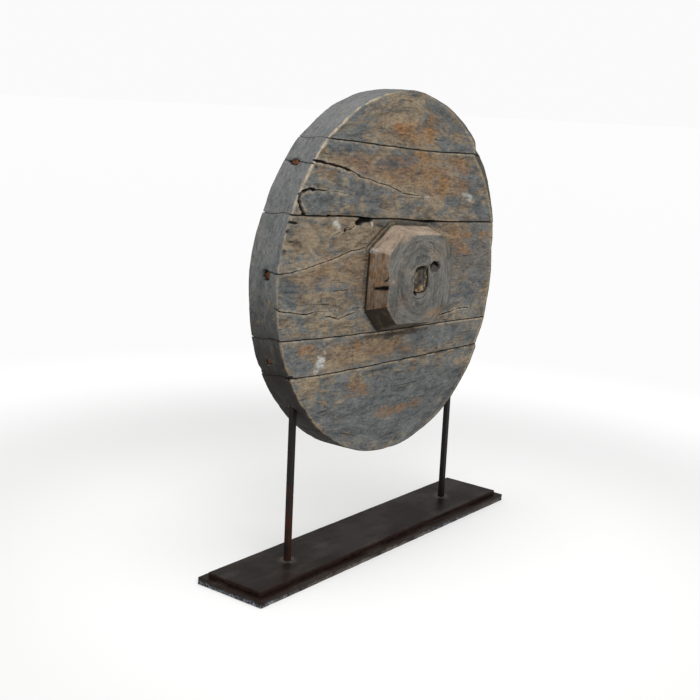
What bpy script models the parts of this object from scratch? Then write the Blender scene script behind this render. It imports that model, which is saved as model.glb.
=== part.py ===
"""A solid plank disc wheel with an octagonal hub, held upright on a two-step base by two square bars.

Metres, +Z up. The origin is the centre of the base's underside, +X runs along the base to the right
of someone facing the wheel's front, and the front faces -Y. The wheel lifts straight up off its bars.
"""

from math import asin, cos, pi, radians, sin, sqrt

import bpy
from mathutils import Matrix, Vector

MM = 0.001
FIT_GAP = 0.3 * MM  # between pieces that touch

# The wheel
WHEEL_RADIUS = 350 * MM
WHEEL_THICKNESS = 70 * MM
WHEEL_CENTRE = Vector((13, 0, 545)) * MM
RIM_CHAMFER = 4 * MM
ARC_STEP = radians(4)

# The joints between planks, from top to bottom: height over the wheel's centre, slope and gap
PLANK_JOINTS = {
    "a": (244 * MM, -0.057, 1.6 * MM),
    "b": (108.5 * MM, -0.052, 2.4 * MM),
    "c": (-104.5 * MM, -0.039, 1.4 * MM),
    "d": (-170 * MM, -0.029, 1.8 * MM),
}
PLANKS = [  # name, joint above and joint below
    ("top_segment", None, "a"),
    ("upper_plank", "a", "b"),
    ("centre_plank", "b", "c"),
    ("lower_plank", "c", "d"),
    ("bottom_segment", "d", None),
]

# Wooden dowels that cross each joint, at this distance on both sides of the centre line
DOWEL_OFFSETS = {"a": 120 * MM, "b": 190 * MM, "c": 190 * MM, "d": 110 * MM}
DOWEL_RADIUS = 8 * MM
DOWEL_LENGTH = 60 * MM

# Iron pins sunk in the rim: angle from +X, and distance of their axis from the wheel's middle plane
RIM_PINS = {
    "rim_pin_upper_left": (141, 8 * MM),
    "rim_pin_middle_left": (175.5, -5 * MM),
    "rim_pin_lower_left": (202, 8 * MM),
    "rim_pin_upper_right": (38, 8 * MM),
    "rim_pin_middle_right": (3, -5 * MM),
    "rim_pin_lower_right": (-26, 8 * MM),
}
PIN_SIDE = 10 * MM
PIN_LENGTH = 55 * MM
PIN_SINK = 3 * MM

# The hub's outline where it meets the plank and at its narrower end, counter-clockwise (x, z) in mm
HUB_ROOT = [(-63, -98), (66, -103), (114, -62), (112, 58), (82, 92), (-33, 97), (-99, 58), (-101, -59)]
HUB_END = [(-67, -82), (62, -90), (111, -54), (103, 52), (70, 80), (-49, 85), (-100, 53), (-100, -46)]
HUB_PROTRUSION = 49 * MM
TENON_HALF = 60 * MM
TENON_CORNER = 12 * MM
TENON_END_INSET = 2 * MM  # the tenon and axle stop short of the rear collar's face

AXLE_HALF = Vector((25, 27)) * MM  # half width and half height of its rounded section
AXLE_CENTRE = Vector((8, -4)) * MM
AXLE_SEGMENTS = 24
AXLE_FRONT_INSET = 3 * MM
AXLE_FIT = 0.5 * MM

WEDGE_OFFSET = 45 * MM
WEDGE_DEPTH = 34 * MM
WEDGE_THICKNESS = 4 * MM
WEDGE_TIP = 1.6 * MM

# The base's two boards
LOWER_BOARD = Vector((812, 156, 14)) * MM
UPPER_BOARD = Vector((786, 128, 9)) * MM
BOARD_EDGE = 0.8 * MM

# The square uprights
UPRIGHT_SIDE = 10 * MM
UPRIGHT_X = {"left": -248 * MM, "right": 271 * MM}
UPRIGHT_TOP = 355 * MM
SOCKET_RADIUS = UPRIGHT_SIDE / sqrt(2) + FIT_GAP

# Screws driven up from the base's underside
SCREW_SEGMENTS = 16
UPRIGHT_SCREW = {"head": 5.5 * MM, "shank": 2.5 * MM, "length": 32 * MM}
BOARD_SCREW = {"head": 4 * MM, "shank": 2 * MM, "length": 17 * MM}
SCREW_RECESS = 0.6 * MM
BOARD_SCREWS_X = (-360 * MM, -130 * MM, 130 * MM, 360 * MM)
BOARD_SCREWS_Y = 42 * MM

FRONT, REAR = -WHEEL_THICKNESS / 2, WHEEL_THICKNESS / 2

COLOURS = {  # base colour, roughness, metallic
    "old_wood": ((0.22, 0.19, 0.16, 1), 0.9, 0),
    "hub_wood": ((0.27, 0.21, 0.16, 1), 0.9, 0),
    "axle_wood": ((0.3, 0.22, 0.13, 1), 0.9, 0),
    "dowel_wood": ((0.36, 0.25, 0.15, 1), 0.8, 0),
    "rusty_iron": ((0.16, 0.06, 0.03, 1), 0.85, 0.3),
    "black_iron": ((0.02, 0.016, 0.014, 1), 0.5, 0.6),
    "stained_board": ((0.035, 0.018, 0.014, 1), 0.35, 0),
    "screw_steel": ((0.45, 0.44, 0.42, 1), 0.4, 1),
}


def clear_scene():
    for obj in list(bpy.data.objects):
        bpy.data.objects.remove(obj)


def make_material(name):
    colour, roughness, metallic = COLOURS[name]
    material = bpy.data.materials.new(name)
    material.use_nodes = True
    shader = material.node_tree.nodes["Principled BSDF"]
    shader.inputs["Base Color"].default_value = colour
    shader.inputs["Roughness"].default_value = roughness
    shader.inputs["Metallic"].default_value = metallic
    return material


def add_object(name, vertices, faces, material, smooth=False):
    mesh = bpy.data.meshes.new(name)
    mesh.from_pydata([tuple(v) for v in vertices], [], faces)
    mesh.validate()
    if material:
        mesh.materials.append(material)
    if smooth:
        mesh.shade_smooth()
        mesh.set_sharp_from_angle(angle=radians(40))
    obj = bpy.data.objects.new(name, mesh)
    bpy.context.collection.objects.link(obj)
    return obj


def loft(name, rings, material=None, smooth=False):
    """A closed solid through rings of equal length. Each ring turns counter-clockwise seen from the last one."""
    count = len(rings[0])
    vertices = [point for ring in rings for point in ring]
    faces = [list(range(count))[::-1]]
    for level in range(len(rings) - 1):
        for i in range(count):
            j = (i + 1) % count
            low, high = level * count, (level + 1) * count
            faces.append([low + i, low + j, high + j, high + i])
    faces.append([(len(rings) - 1) * count + i for i in range(count)])
    return add_object(name, vertices, faces, material, smooth)


def at_depth(outline, y, centre=(0, 0)):
    """A ring from a counter-clockwise (x, z) outline, for lofts that run from the rear to the front."""
    return [Vector((x + centre[0], y, z + centre[1])) for x, z in outline]


def circle(radius, segments):
    return [(radius * cos(2 * pi * i / segments), radius * sin(2 * pi * i / segments)) for i in range(segments)]


def square(half):
    return [(-half, -half), (half, -half), (half, half), (-half, half)]


def prism_z(name, outline, bottom, top, material=None, smooth=False):
    rings = [[Vector((x, y, z)) for x, y in outline] for z in (bottom, top)]
    return loft(name, rings, material, smooth)


def cut(target, cutter):
    """Cuts the cutter's shape out of the target, and keeps the cutter as a hidden guide."""
    cutter.hide_render = True
    cutter.display_type = "WIRE"
    modifier = target.modifiers.new("cut " + cutter.name, "BOOLEAN")
    modifier.operation = "DIFFERENCE"
    modifier.solver = "EXACT"
    modifier.object = cutter


def joint_height(joint, x):
    height, slope, _ = PLANK_JOINTS[joint]
    return height + slope * x


def joint_ends(joint, side, radius):
    """Angles where a plank's edge at a joint, above or below its gap, meets the rim: right end, left end."""
    height, slope, gap = PLANK_JOINTS[joint]
    tilt = sqrt(1 + slope * slope)
    reach = asin((height + side * gap / 2) / tilt / radius)
    lean = asin(slope / tilt)
    return reach + lean, pi - reach + lean


def arc(start, end, steps, radius):
    return [
        (radius * cos(start + (end - start) * i / steps), radius * sin(start + (end - start) * i / steps))
        for i in range(steps + 1)
    ]


def plank_ends(above, below, radius):
    """Right and left rim angles of a plank's lower edge, then of its upper edge."""
    bottom = joint_ends(below, 1, radius) if below else (-pi / 2, 3 * pi / 2)
    top = joint_ends(above, -1, radius) if above else (pi / 2, pi / 2)
    return bottom, top


def plank_outline(above, below, radius):
    """The counter-clockwise outline of the plank between two joints of a disc with this radius."""
    full_bottom, full_top = plank_ends(above, below, WHEEL_RADIUS)
    steps = round((full_top[0] - full_bottom[0]) / ARC_STEP)
    bottom, top = plank_ends(above, below, radius)
    right = arc(bottom[0], top[0], steps, radius)
    left = arc(top[1], bottom[1], steps, radius)
    points = right + (left if above else left[1:])
    return points if below else points[:-1]


def make_plank(name, above, below, material):
    inner = WHEEL_RADIUS - RIM_CHAMFER
    rings = [
        at_depth(plank_outline(above, below, inner), REAR),
        at_depth(plank_outline(above, below, WHEEL_RADIUS), REAR - RIM_CHAMFER),
        at_depth(plank_outline(above, below, WHEEL_RADIUS), FRONT + RIM_CHAMFER),
        at_depth(plank_outline(above, below, inner), FRONT),
    ]
    plank = loft(name, rings, material)
    plank.location = WHEEL_CENTRE
    return plank


def make_dowels(planks, material):
    """Two dowels over each joint, and their holes in the planks on both sides."""
    for joint, offset in DOWEL_OFFSETS.items():
        above = next(name for name, _, below in PLANKS if below == joint)
        under = next(name for name, over, _ in PLANKS if over == joint)
        for side, x in (("left", -offset), ("right", offset)):
            centre = WHEEL_CENTRE + Vector((x, 0, joint_height(joint, x)))
            half = DOWEL_LENGTH / 2
            name = f"dowel_{joint}_{side}"
            dowel = prism_z(name, circle(DOWEL_RADIUS, 16), -half, half, material, smooth=True)
            hole = prism_z(
                name + " hole", circle(DOWEL_RADIUS + FIT_GAP, 16), -half - FIT_GAP, half + FIT_GAP
            )
            dowel.location = hole.location = centre
            cut(planks[above], hole)
            cut(planks[under], hole)


def plank_at(angle):
    """The name of the plank whose rim holds this angle."""
    x, z = WHEEL_RADIUS * cos(angle), WHEEL_RADIUS * sin(angle)
    for name, _, below in PLANKS:
        if below is None or z > joint_height(below, x):
            return name


def make_rim_pins(planks, material):
    """Square iron pins on the corner, along the wheel's radius, each in its own hole in a plank's end."""
    for name, (degrees, depth) in RIM_PINS.items():
        angle = radians(degrees)
        outer = WHEEL_RADIUS - PIN_SINK
        turn = Matrix.Rotation(pi / 2 - angle, 4, "Y")
        place = Matrix.Translation(WHEEL_CENTRE + Vector((0, depth, 0))) @ turn
        corner = Matrix.Rotation(pi / 4, 4, "Z")
        pin = prism_z(name, square(PIN_SIDE / 2), outer - PIN_LENGTH, outer, material)
        hole = prism_z(
            name + " hole",
            square(PIN_SIDE / 2 + FIT_GAP),
            outer - PIN_LENGTH - FIT_GAP,
            WHEEL_RADIUS + PIN_SINK,
        )
        pin.matrix_world = hole.matrix_world = place @ corner
        cut(planks[plank_at(angle)], hole)


def tenon_outline(grow=0.0):
    half, corner = TENON_HALF + grow, TENON_CORNER
    near = half - corner
    return [
        (-near, -half), (near, -half), (half, -near), (half, near),
        (near, half), (-near, half), (-half, near), (-half, -near),
    ]  # fmt: skip


def axle_outline(grow=0.0):
    """A rounded rectangle, flatter on its sides than an ellipse."""
    points = []
    for x, z in circle(1, AXLE_SEGMENTS):
        bulge = (x**4 + z**4) ** -0.25
        points.append(((AXLE_HALF.x + grow) * x * bulge, (AXLE_HALF.y + grow) * z * bulge))
    return points


def in_metres(outline):
    return [(x * MM, z * MM) for x, z in outline]


def make_hub(centre_plank, hub_wood, axle_wood):
    """The hub block with its tenon through the centre plank, and the rear collar, wedges and axle."""
    front_end, rear_end = FRONT - HUB_PROTRUSION, REAR + HUB_PROTRUSION
    tenon_end = rear_end - TENON_END_INSET
    hub = loft(
        "hub_block",
        [
            at_depth(tenon_outline(), tenon_end),
            at_depth(tenon_outline(), FRONT - FIT_GAP),
            at_depth(in_metres(HUB_ROOT), FRONT - FIT_GAP),
            at_depth(in_metres(HUB_END), front_end),
        ],
        hub_wood,
    )
    collar = loft(
        "rear_collar",
        [at_depth(in_metres(HUB_END), rear_end), at_depth(in_metres(HUB_ROOT), REAR + FIT_GAP)],
        hub_wood,
    )
    axle = loft(
        "axle_stub",
        [
            at_depth(axle_outline(), tenon_end, AXLE_CENTRE),
            at_depth(axle_outline(), front_end + AXLE_FRONT_INSET, AXLE_CENTRE),
        ],
        axle_wood,
        smooth=True,
    )
    clear = 2 * HUB_PROTRUSION
    tenon_hole = loft("tenon hole", [at_depth(tenon_outline(FIT_GAP), y) for y in (clear, -clear)])
    axle_hole = loft("axle hole", [at_depth(axle_outline(AXLE_FIT), y, AXLE_CENTRE) for y in (clear, -clear)])
    for obj in (hub, collar, axle, tenon_hole, axle_hole):
        obj.location = WHEEL_CENTRE
    cut(centre_plank, tenon_hole)
    cut(collar, tenon_hole)
    cut(hub, axle_hole)
    make_wedges(hub, tenon_end, axle_wood)


def wedge_rings(y_mouth, grow):
    """A wedge across the tenon's end, thick at the mouth and thin at its tip."""
    half = TENON_HALF - TENON_CORNER
    mouth, tip = WEDGE_THICKNESS / 2 + grow, WEDGE_TIP / 2 + grow
    rings = []
    for y, thick in ((y_mouth + grow, mouth), (y_mouth - WEDGE_DEPTH - grow, tip)):
        outline = [(-thick, -half - grow), (thick, -half - grow), (thick, half + grow), (-thick, half + grow)]
        rings.append(at_depth(outline, y))
    return rings


def make_wedges(hub, tenon_end, material):
    for name, x in (("tenon_wedge_left", -WEDGE_OFFSET), ("tenon_wedge_right", WEDGE_OFFSET)):
        wedge = loft(name, wedge_rings(tenon_end, 0), material)
        kerf = loft(name + " kerf", wedge_rings(tenon_end, FIT_GAP))
        wedge.location = kerf.location = WHEEL_CENTRE + Vector((x, 0, 0))
        cut(hub, kerf)


def make_board(name, size, bottom, material):
    half_x, half_y = size.x / 2, size.y / 2

    def rim(inset):
        x, y = half_x - inset, half_y - inset
        return [(-x, -y), (x, -y), (x, y), (-x, y)]

    levels = [(bottom, BOARD_EDGE), (bottom + BOARD_EDGE, 0)]
    levels += [(bottom + size.z - BOARD_EDGE, 0), (bottom + size.z, BOARD_EDGE)]
    rings = [[Vector((x, y, z)) for x, y in rim(inset)] for z, inset in levels]
    return loft(name, rings, material)


def screw_rings(screw, grow=0.0):
    """A countersunk screw standing on its head, with a short point."""
    head, shank = screw["head"] + grow, screw["shank"] + grow
    tip = SCREW_RECESS + screw["length"] + grow
    cone = SCREW_RECESS + screw["head"] - screw["shank"]
    levels = [(SCREW_RECESS, head), (cone, shank), (tip - screw["shank"], shank), (tip, shank / 3)]
    if grow:
        levels.insert(0, (-SCREW_RECESS, head))
    return [[Vector((x, y, z)) for x, y in circle(radius, SCREW_SEGMENTS)] for z, radius in levels]


def add_screw(name, screw, x, y, holders, material):
    body = loft(name, screw_rings(screw), material, smooth=True)
    hole = loft(name + " hole", screw_rings(screw, FIT_GAP))
    body.location = hole.location = (x, y, 0)
    for holder in holders:
        cut(holder, hole)


def make_stand(board_paint, bar_iron, screw_steel):
    lower = make_board("base_lower_board", LOWER_BOARD, 0, board_paint)
    upper_bottom = LOWER_BOARD.z + FIT_GAP
    upper_top = upper_bottom + UPPER_BOARD.z
    upper = make_board("base_upper_board", UPPER_BOARD, upper_bottom, board_paint)
    for side, x in UPRIGHT_X.items():
        name = f"upright_{side}"
        bar = prism_z(name, square(UPRIGHT_SIDE / 2), upper_bottom, UPRIGHT_TOP, bar_iron)
        around = square(UPRIGHT_SIDE / 2 + FIT_GAP)
        mortise = prism_z(name + " mortise", around, LOWER_BOARD.z, upper_top + FIT_GAP)
        bar.location.x = mortise.location.x = x
        cut(upper, mortise)
        add_screw(f"upright_screw_{side}", UPRIGHT_SCREW, x, 0, (lower, bar), screw_steel)
    for column, x in enumerate(BOARD_SCREWS_X, start=1):
        for row, y in (("front", -BOARD_SCREWS_Y), ("rear", BOARD_SCREWS_Y)):
            add_screw(f"board_screw_{row}_{column}", BOARD_SCREW, x, y, (lower, upper), screw_steel)


def make_sockets(bottom_segment):
    """Blind holes bored up into the rim, which let the wheel down over the uprights' tips."""
    for side, x in UPRIGHT_X.items():
        low = WHEEL_CENTRE.z - WHEEL_RADIUS
        bore = prism_z(f"socket {side}", circle(SOCKET_RADIUS, 24), low, UPRIGHT_TOP + FIT_GAP)
        bore.location.x = x
        cut(bottom_segment, bore)


def build():
    clear_scene()
    materials = {name: make_material(name) for name in COLOURS}
    planks = {
        name: make_plank(name, above, below, materials["old_wood"]) for name, above, below in PLANKS
    }
    make_dowels(planks, materials["dowel_wood"])
    make_rim_pins(planks, materials["rusty_iron"])
    make_hub(planks["centre_plank"], materials["hub_wood"], materials["axle_wood"])
    make_stand(materials["stained_board"], materials["black_iron"], materials["screw_steel"])
    make_sockets(planks["bottom_segment"])


build()
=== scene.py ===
from collections import namedtuple
from itertools import product
from math import atan2, cos, pi, radians, sin

import bmesh
import bpy
import numpy as np
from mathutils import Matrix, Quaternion, Vector
from mathutils.geometry import delaunay_2d_cdt
from mathutils.kdtree import KDTree


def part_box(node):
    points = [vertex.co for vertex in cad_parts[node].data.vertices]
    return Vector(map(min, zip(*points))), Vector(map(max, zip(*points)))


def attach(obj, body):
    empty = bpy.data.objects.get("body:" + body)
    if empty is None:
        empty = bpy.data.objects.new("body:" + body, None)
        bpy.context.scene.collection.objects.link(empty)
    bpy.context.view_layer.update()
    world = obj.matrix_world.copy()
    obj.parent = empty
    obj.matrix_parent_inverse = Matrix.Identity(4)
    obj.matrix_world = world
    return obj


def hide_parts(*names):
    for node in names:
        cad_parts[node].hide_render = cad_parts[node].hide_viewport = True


# The solid plank wheel on its iron uprights. Shapes are worked out in millimetres from the wheel's
# centre, x to the right, y to the rear and z up. add_piece puts them into the frame's metres.

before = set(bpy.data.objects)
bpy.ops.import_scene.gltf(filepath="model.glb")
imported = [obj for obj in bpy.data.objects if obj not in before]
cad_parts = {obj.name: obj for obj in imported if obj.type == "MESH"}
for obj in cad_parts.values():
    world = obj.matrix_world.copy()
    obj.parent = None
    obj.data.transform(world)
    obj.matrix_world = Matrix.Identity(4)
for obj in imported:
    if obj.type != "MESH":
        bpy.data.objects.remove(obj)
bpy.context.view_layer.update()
MM = 0.001
SIDES = ("left", "right")

TOP_BOX, MIDDLE_BOX, BOTTOM_BOX = map(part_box, ("top_segment", "centre_plank", "bottom_segment"))
CENTRE = Vector(
    (
        (MIDDLE_BOX[0].x + MIDDLE_BOX[1].x) / 2,
        (TOP_BOX[0].y + TOP_BOX[1].y) / 2,
        (TOP_BOX[1].z + BOTTOM_BOX[0].z) / 2,
    )
)
RADIUS = (TOP_BOX[1].z - CENTRE.z) / MM
FRONT = (TOP_BOX[0].y - CENTRE.y) / MM
REAR = -FRONT
THICKNESS = REAR - FRONT
FIT_GAP = 0.3  # between pieces that touch

# The joints between planks: points along each, its gap, how round its edges are worn, how dark its line is on
# the rim, and how pale the worn edges under it and over it are
Joint = namedtuple("Joint", "line gap wear rim_shade lip_under lip_over")
JOINTS = {
    "a": Joint(
        [(-350, 270), (-230, 262), (-10, 244), (101, 236), (251, 229), (350, 225)],
        1.2, 0.9, 0.2, 0.5, 0.15,
    ),
    "b": Joint(
        [(-350, 134), (-290, 130), (-150, 121), (-93, 115), (0, 109), (59, 102), (190, 93), (350, 84)],
        1.8, 1.2, 0.1, 0.2, 0.1,
    ),
    "c": Joint(
        [(-350, -86), (-227, -96), (-68, -104), (96, -111), (184, -114), (350, -122)],
        1.0, 1.0, 0.5, 0.7, 0.1,
    ),
    "d": Joint(
        [(-350, -156), (-235, -164), (-82, -169), (129, -174), (350, -178)],
        1.2, 1.1, 0.4, 0.75, 0.15,
    ),
}  # fmt: skip
# The planks: the joint above each, the joint below it, and how far its front is set back
Plank = namedtuple("Plank", "above below recess")
PLANKS = {
    "top_segment": Plank(None, "a", 0.5),
    "upper_plank": Plank("a", "b", 0.0),
    "centre_plank": Plank("b", "c", 0.9),
    "lower_plank": Plank("c", "d", 0.3),
    "bottom_segment": Plank("d", None, 0.7),
}
PLANK_ORDER = list(PLANKS)

# Cracks on the front with pale worn lips: points, full width and depth
LIPPED_CRACKS = [
    ([(-300, 230), (-263, 224), (-228, 218)], 5.6, 8.0),
    ([(-244, 221), (-216, 216), (-177, 208), (-160, 203)], 4.0, 6.0),
    ([(-172, 207), (-152, 200), (-130, 193)], 2.8, 4.0),
    ([(-152, 200), (-138, 193), (-99, 186), (-79, 180), (-49, 175), (-2, 159), (60, 150)], 2.0, 3.0),
    ([(-170, 163), (-200, 168), (-227, 170)], 1.0, 1.2),
    ([(-227, 170), (-249, 173), (-266, 174)], 2.2, 3.6),
    ([(-258, 173), (-276, 175), (-292, 174), (-303, 169), (-308, 163)], 5.6, 9.0),
    ([(-298, 172), (-306, 166), (-307, 157), (-301, 147), (-294, 138), (-286, 130)], 8.0, 10.0),
    ([(-143, 106), (-152, 100), (-166, 97.5), (-176, 97)], 2.4, 4.0),
    ([(-176, 97), (-193, 93), (-210, 89)], 1.4, 2.0),
    ([(-365, 33), (-332, 32), (-291, 35), (-249, 41), (-204, 48), (-152, 58), (-107, 61)], 1.6, 3.6),
    ([(-360, -27), (-343, -33), (-304, -41), (-279, -46), (-249, -44)], 1.9, 4.5),
    ([(-249, -44), (-221, -46), (-179, -50)], 1.0, 1.2),
    ([(-221, -57), (-204, -58), (-180, -66), (-160, -62), (-129, -58)], 2.8, 3.0),
    ([(-120, -49), (-103, -60)], 1.2, 1.6),
    ([(150, -97), (168, -96), (196, -94), (223, -90), (268, -93)], 1.8, 4.0),
    ([(-340, 121), (-326, 121), (-316, 118), (-306, 118)], 5.2, 2.2),
]
# All cracks on the front: the flaked edge under joint b, hairlines, and the groove beside the hub
CRACKS = LIPPED_CRACKS + [
    ([(-340, 104), (-328, 102), (-320, 103), (-312, 98)], 4.4, 1.5),
    ([(-334, 89), (-322, 86), (-308, 87), (-292, 79)], 4.8, 1.8),
    ([(-342, 75), (-334, 71)], 4.6, 1.9),
    ([(157, -102), (182, -103), (207, -100)], 1.0, 1.4),
    ([(160, -107), (184, -109), (205, -106)], 1.0, 1.2),
    ([(-150, 61), (-139, 66), (-128, 70)], 1.0, 1.2),
    ([(-106, 60), (-88, 72), (-64, 87), (-38, 103)], 2.4, 3.4),
]
# Hollows on the front: centre, half width, half height, turn in degrees and depth
HOLLOWS = [
    (-128, 111, 15, 7, 8, 16),
    (-108, 113, 18, 4.4, -6, 14),
    (-173, 97, 4, 3, 0, 6),
    (-221, 126, 9, 2.6, -4, 10),
    (95, 99, 34, 2.2, -3, 7),
    (-174, 98, 3.5, 2.6, 0, 8),
    (-294, 133, 4, 4, 0, 9),
    (-316, 119, 18, 3.2, -8, 1.8),
    (-333, 106, 5, 4, 0, 2.0),
    (-317, 97, 6, 3, 0, 1.6),
    (-312, 83, 16, 2.4, -18, 1.4),
    (-338, 70, 5, 4, 0, 1.6),
    (-314, -159, 11, 6, 10, 6),
]
# Cracks across the rim: angle in degrees, full width, depth, where they end from the front, drift in mm
RIM_CRACKS = [
    (141.2, 1.8, 5, 120, -3),
    (174.6, 1.8, 5, 30, -2),
    (184.6, 1.4, 3, 18, 1),
    (120, 1.0, 1.2, 50, -3),
    (28, 1.6, 3, 70, 3),
    (-12, 1.4, 3, 50, -3),
    (232, 1.6, 3, 60, 4),
]
# The worn hole round each pin: half size along the rim, half size across it, and depth
PIN_HOLES = {
    "upper_left": (8, 11, 7),
    "middle_left": (8.5, 8.5, 10.5),
    "lower_left": (5.4, 5.8, 8.2),
    "upper_right": (8, 9, 10),
    "middle_right": (8.5, 8, 5),
    "lower_right": (8, 9, 11),
}
# How far the worn rim lies outside a true circle, at angles in degrees from the right end
RIM_SHAPE = [
    (0, 0.5), (5, -1), (8, 3), (10, 5), (15, 7), (25, 9.5), (30, 11), (35, 10.5), (40, 8.6), (42, 6),
    (45, 11.5), (50, 9.5), (60, 6), (75, 2.5), (85, 4.5), (95, 1.5), (105, 0), (115, 1.5), (124, -1),
    (132, 3), (136, 3), (144, 1), (150, 2), (155, 0), (160, 2), (165, 5), (175, 7), (185, 4), (190, 5.5),
    (200, 5), (210, 3.3), (220, 0), (235, 0), (255, 1), (270, 1.5), (280, 2.8), (287, 3), (295, 7),
    (300, 10), (310, 10), (318, 12), (325, 13), (330, 12), (335, 9), (340, 8.5), (345, 5), (350, 6),
    (356, 4), (360, 0.5),
]  # fmt: skip
# Where a plank's end stands lower than the next: angle, how far past it the step starts to fade and
# ends, and its height
RIM_STEPS = [(41.9, 1, 4, 5), (329.2, 2, 9, 4.5)]
RIM_CHIP = (205.5, 1.2, 3.0)  # angle, half width in degrees and depth
# The width of the worn bevel along the front's edge, at angles in degrees: crisp on the left and
# broad at the right
BEVEL = [
    (-180, 2.4), (-90, 3), (-60, 7), (-30, 10), (0, 9), (12, 10), (18, 13), (28, 19), (38, 24), (42.1, 24),
    (42.4, 12), (60, 8), (80, 5), (95, 2.4), (180, 2.4),
]  # fmt: skip
CRISP_BEVEL = 2.4
# Rows across the planks' thickness, as shares of it: fine at both edges
ROWS = [0, 0.017, 0.04, 0.07, 0.11, 0.16, 0.22, 0.28, 0.34, 0.4, 0.46, 0.52, 0.58, 0.64, 0.7, 0.77, 0.84]
ROWS += [0.9, 0.94, 0.97, 0.985, 1]
TENON_SIDE = 60.3  # half the square hole that the tenon goes through
TENON_CORNER = 12

# The hub's outline at its foot and at its front face, counter-clockwise from the lower left
HUB_FOOT = [(-64, -103), (68, -109), (117, -63), (115, 58), (86, 92), (-32, 101), (-100, 58), (-106, -59)]
HUB_FACE = [(-66, -82), (64, -92), (115, -56), (110, 53), (74, 79), (-57, 87), (-100, 54), (-99, -46)]
HUB_HEIGHT = 49
SLOT_DEPTH = 8
HUB_CRACKS = [
    ([(-58, 43), (-50, 56), (-36, 66), (-18, 70), (6, 70)], 1.4, 1.8),
    ([(-20, -34), (0, -40), (20, -38), (34, -26)], 1.6, 2.0),
    ([(31, 21), (31.5, 0), (31, -21)], 2.6, 5),
    ([(37, 17), (43, 23), (54, 26), (64, 23), (70, 14)], 9, 12),
    ([(56, 8), (56, -12), (53, -28)], 1.4, 1.2),
    ([(-58, 40), (-62, 18), (-60, -10), (-48, -40)], 0.9, 1.0),
    ([(58, 30), (66, 10), (64, -20), (50, -44)], 0.9, 1.0),
]
HUB_HOLLOWS = [(54, 15, 17, 9, 0, 2), (-10, -27, 10, 4, -38, 5)]
AXLE_HALF = (23, 26)
AXLE_CENTRE = (8, -3)

# Patches of colour on the front: centre, half width, half height, turn in degrees and strength
RUST = [
    (-12, 280, 34, 12, -5, 1), (80, 268, 24, 13, -10, 1), (29, 271, 80, 20, -8, 0.55),
    (81, 297, 5, 14, 0, 0.9), (70, 225, 42, 10, -8, 0.8), (138, 176, 20, 30, 0, 0.8),
    (198, 207, 42, 18, -15, 0.65), (-95, 203, 100, 26, -12, 0.45), (95, 188, 150, 30, -12, 0.55),
    (205, 52, 44, 26, -30, 0.55), (232, 35, 30, 14, -5, 0.7), (240, 61, 14, 8, 0, 0.8),
    (302, 60, 18, 8, 0, 0.8), (-200, 28, 95, 26, 0, 0.3), (-266, -112, 32, 10, -3, 0.75),
    (-100, -132, 130, 22, 0, 0.25), (-120, -125, 8, 14, 0, 0.8), (-30, -139, 85, 19, -4, 0.4),
    (-117, -205, 27, 13, -5, 0.8), (-112, -219, 42, 4, -3, 0.7), (-22, -270, 34, 11, 0, 0.65),
    (34, -273, 24, 12, 0, 0.7), (84, -271, 25, 8, 0, 0.6), (68, -196, 14, 5, 0, 0.7),
    (-235, 205, 28, 14, -20, 0.3), (60, 20, 300, 60, 0, 0.18),
]  # fmt: skip
TAN = [
    (-150, 20, 190, 80, 0, 0.25), (60, 200, 150, 50, -8, 0.35), (0, 290, 160, 45, 0, 0.45),
    (178, 260, 22, 16, 0, 0.8), (178, 78, 44, 26, -25, 0.7), (-250, -186, 24, 20, 0, 0.7),
    (-214, -226, 8, 10, 0, 0.7), (-174, -230, 15, 20, 0, 0.7), (170, -280, 14, 6, 0, 0.8),
    (-142, -292, 13, 6, 0, 0.8), (-42, -325, 18, 4, 0, 0.8), (-200, 30, 95, 28, 0, 0.3),
    (-200, 92, 150, 34, 0, 0.5), (-90, -134, 140, 26, 0, 0.45), (-60, 225, 30, 14, 0, 0.4),
    (-140, 305, 60, 16, 20, 0.4), (200, -20, 60, 30, 0, 0.4), (150, -40, 40, 30, 0, 0.3),
    (-190, 150, 60, 14, -4, 0.35), (0, 300, 120, 24, 0, 0.3),
]  # fmt: skip
BLUE = [
    (20, -265, 300, 80, 0, 0.75), (160, -140, 160, 20, -2, 0.5), (-160, 160, 110, 30, 0, 0.3),
    (-150, 285, 90, 30, 20, 0.45), (230, -10, 90, 70, 0, 0.55), (150, 300, 90, 40, -30, 0.3),
    (-290, 190, 30, 20, 0, 0.5), (-170, 250, 22, 9, -5, 0.9), (-18, 221, 62, 17, -5, 0.8),
    (145, 250, 55, 15, -8, 0.65), (195, 282, 36, 14, -25, 0.8), (109, 178, 14, 11, 0, 0.6),
    (178, 134, 34, 12, -5, 0.6), (291, 110, 32, 14, -5, 0.8), (-320, -110, 10, 16, 0, 0.8),
    (-278, -142, 30, 13, -3, 0.8), (-325, -8, 30, 30, 0, 0.8), (-210, -6, 60, 4, -3, 0.8),
    (12, -214, 24, 9, 0, 0.8), (0, -240, 200, 50, 0, 0.9), (182, -214, 15, 11, 0, 0.8),
    (45, 277, 14, 12, 0, 0.9), (60, -290, 140, 40, 0, 0.4), (260, -40, 60, 60, 0, 0.35),
    (-60, -60, 60, 30, 0, 0.3), (-250, 151, 60, 20, 0, 1), (230, 170, 40, 20, -10, 0.5),
]  # fmt: skip
PAINT = [
    (-198, 108, 12, 5.5, -20, 0.85), (-200, 121, 5, 3, 0, 0.5), (-94, 103, 3, 8, 0, 1),
    (228, 145, 22, 4, -14, 0.7), (246, 134, 16, 3, -14, 0.6), (-232, -139, 14, 11, -20, 0.9),
    (-217, -124, 4, 6, 0, 0.6), (-242, -157, 7, 7, 0, 0.5), (80, 148, 7, 5, 0, 0.6),
]  # fmt: skip
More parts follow.
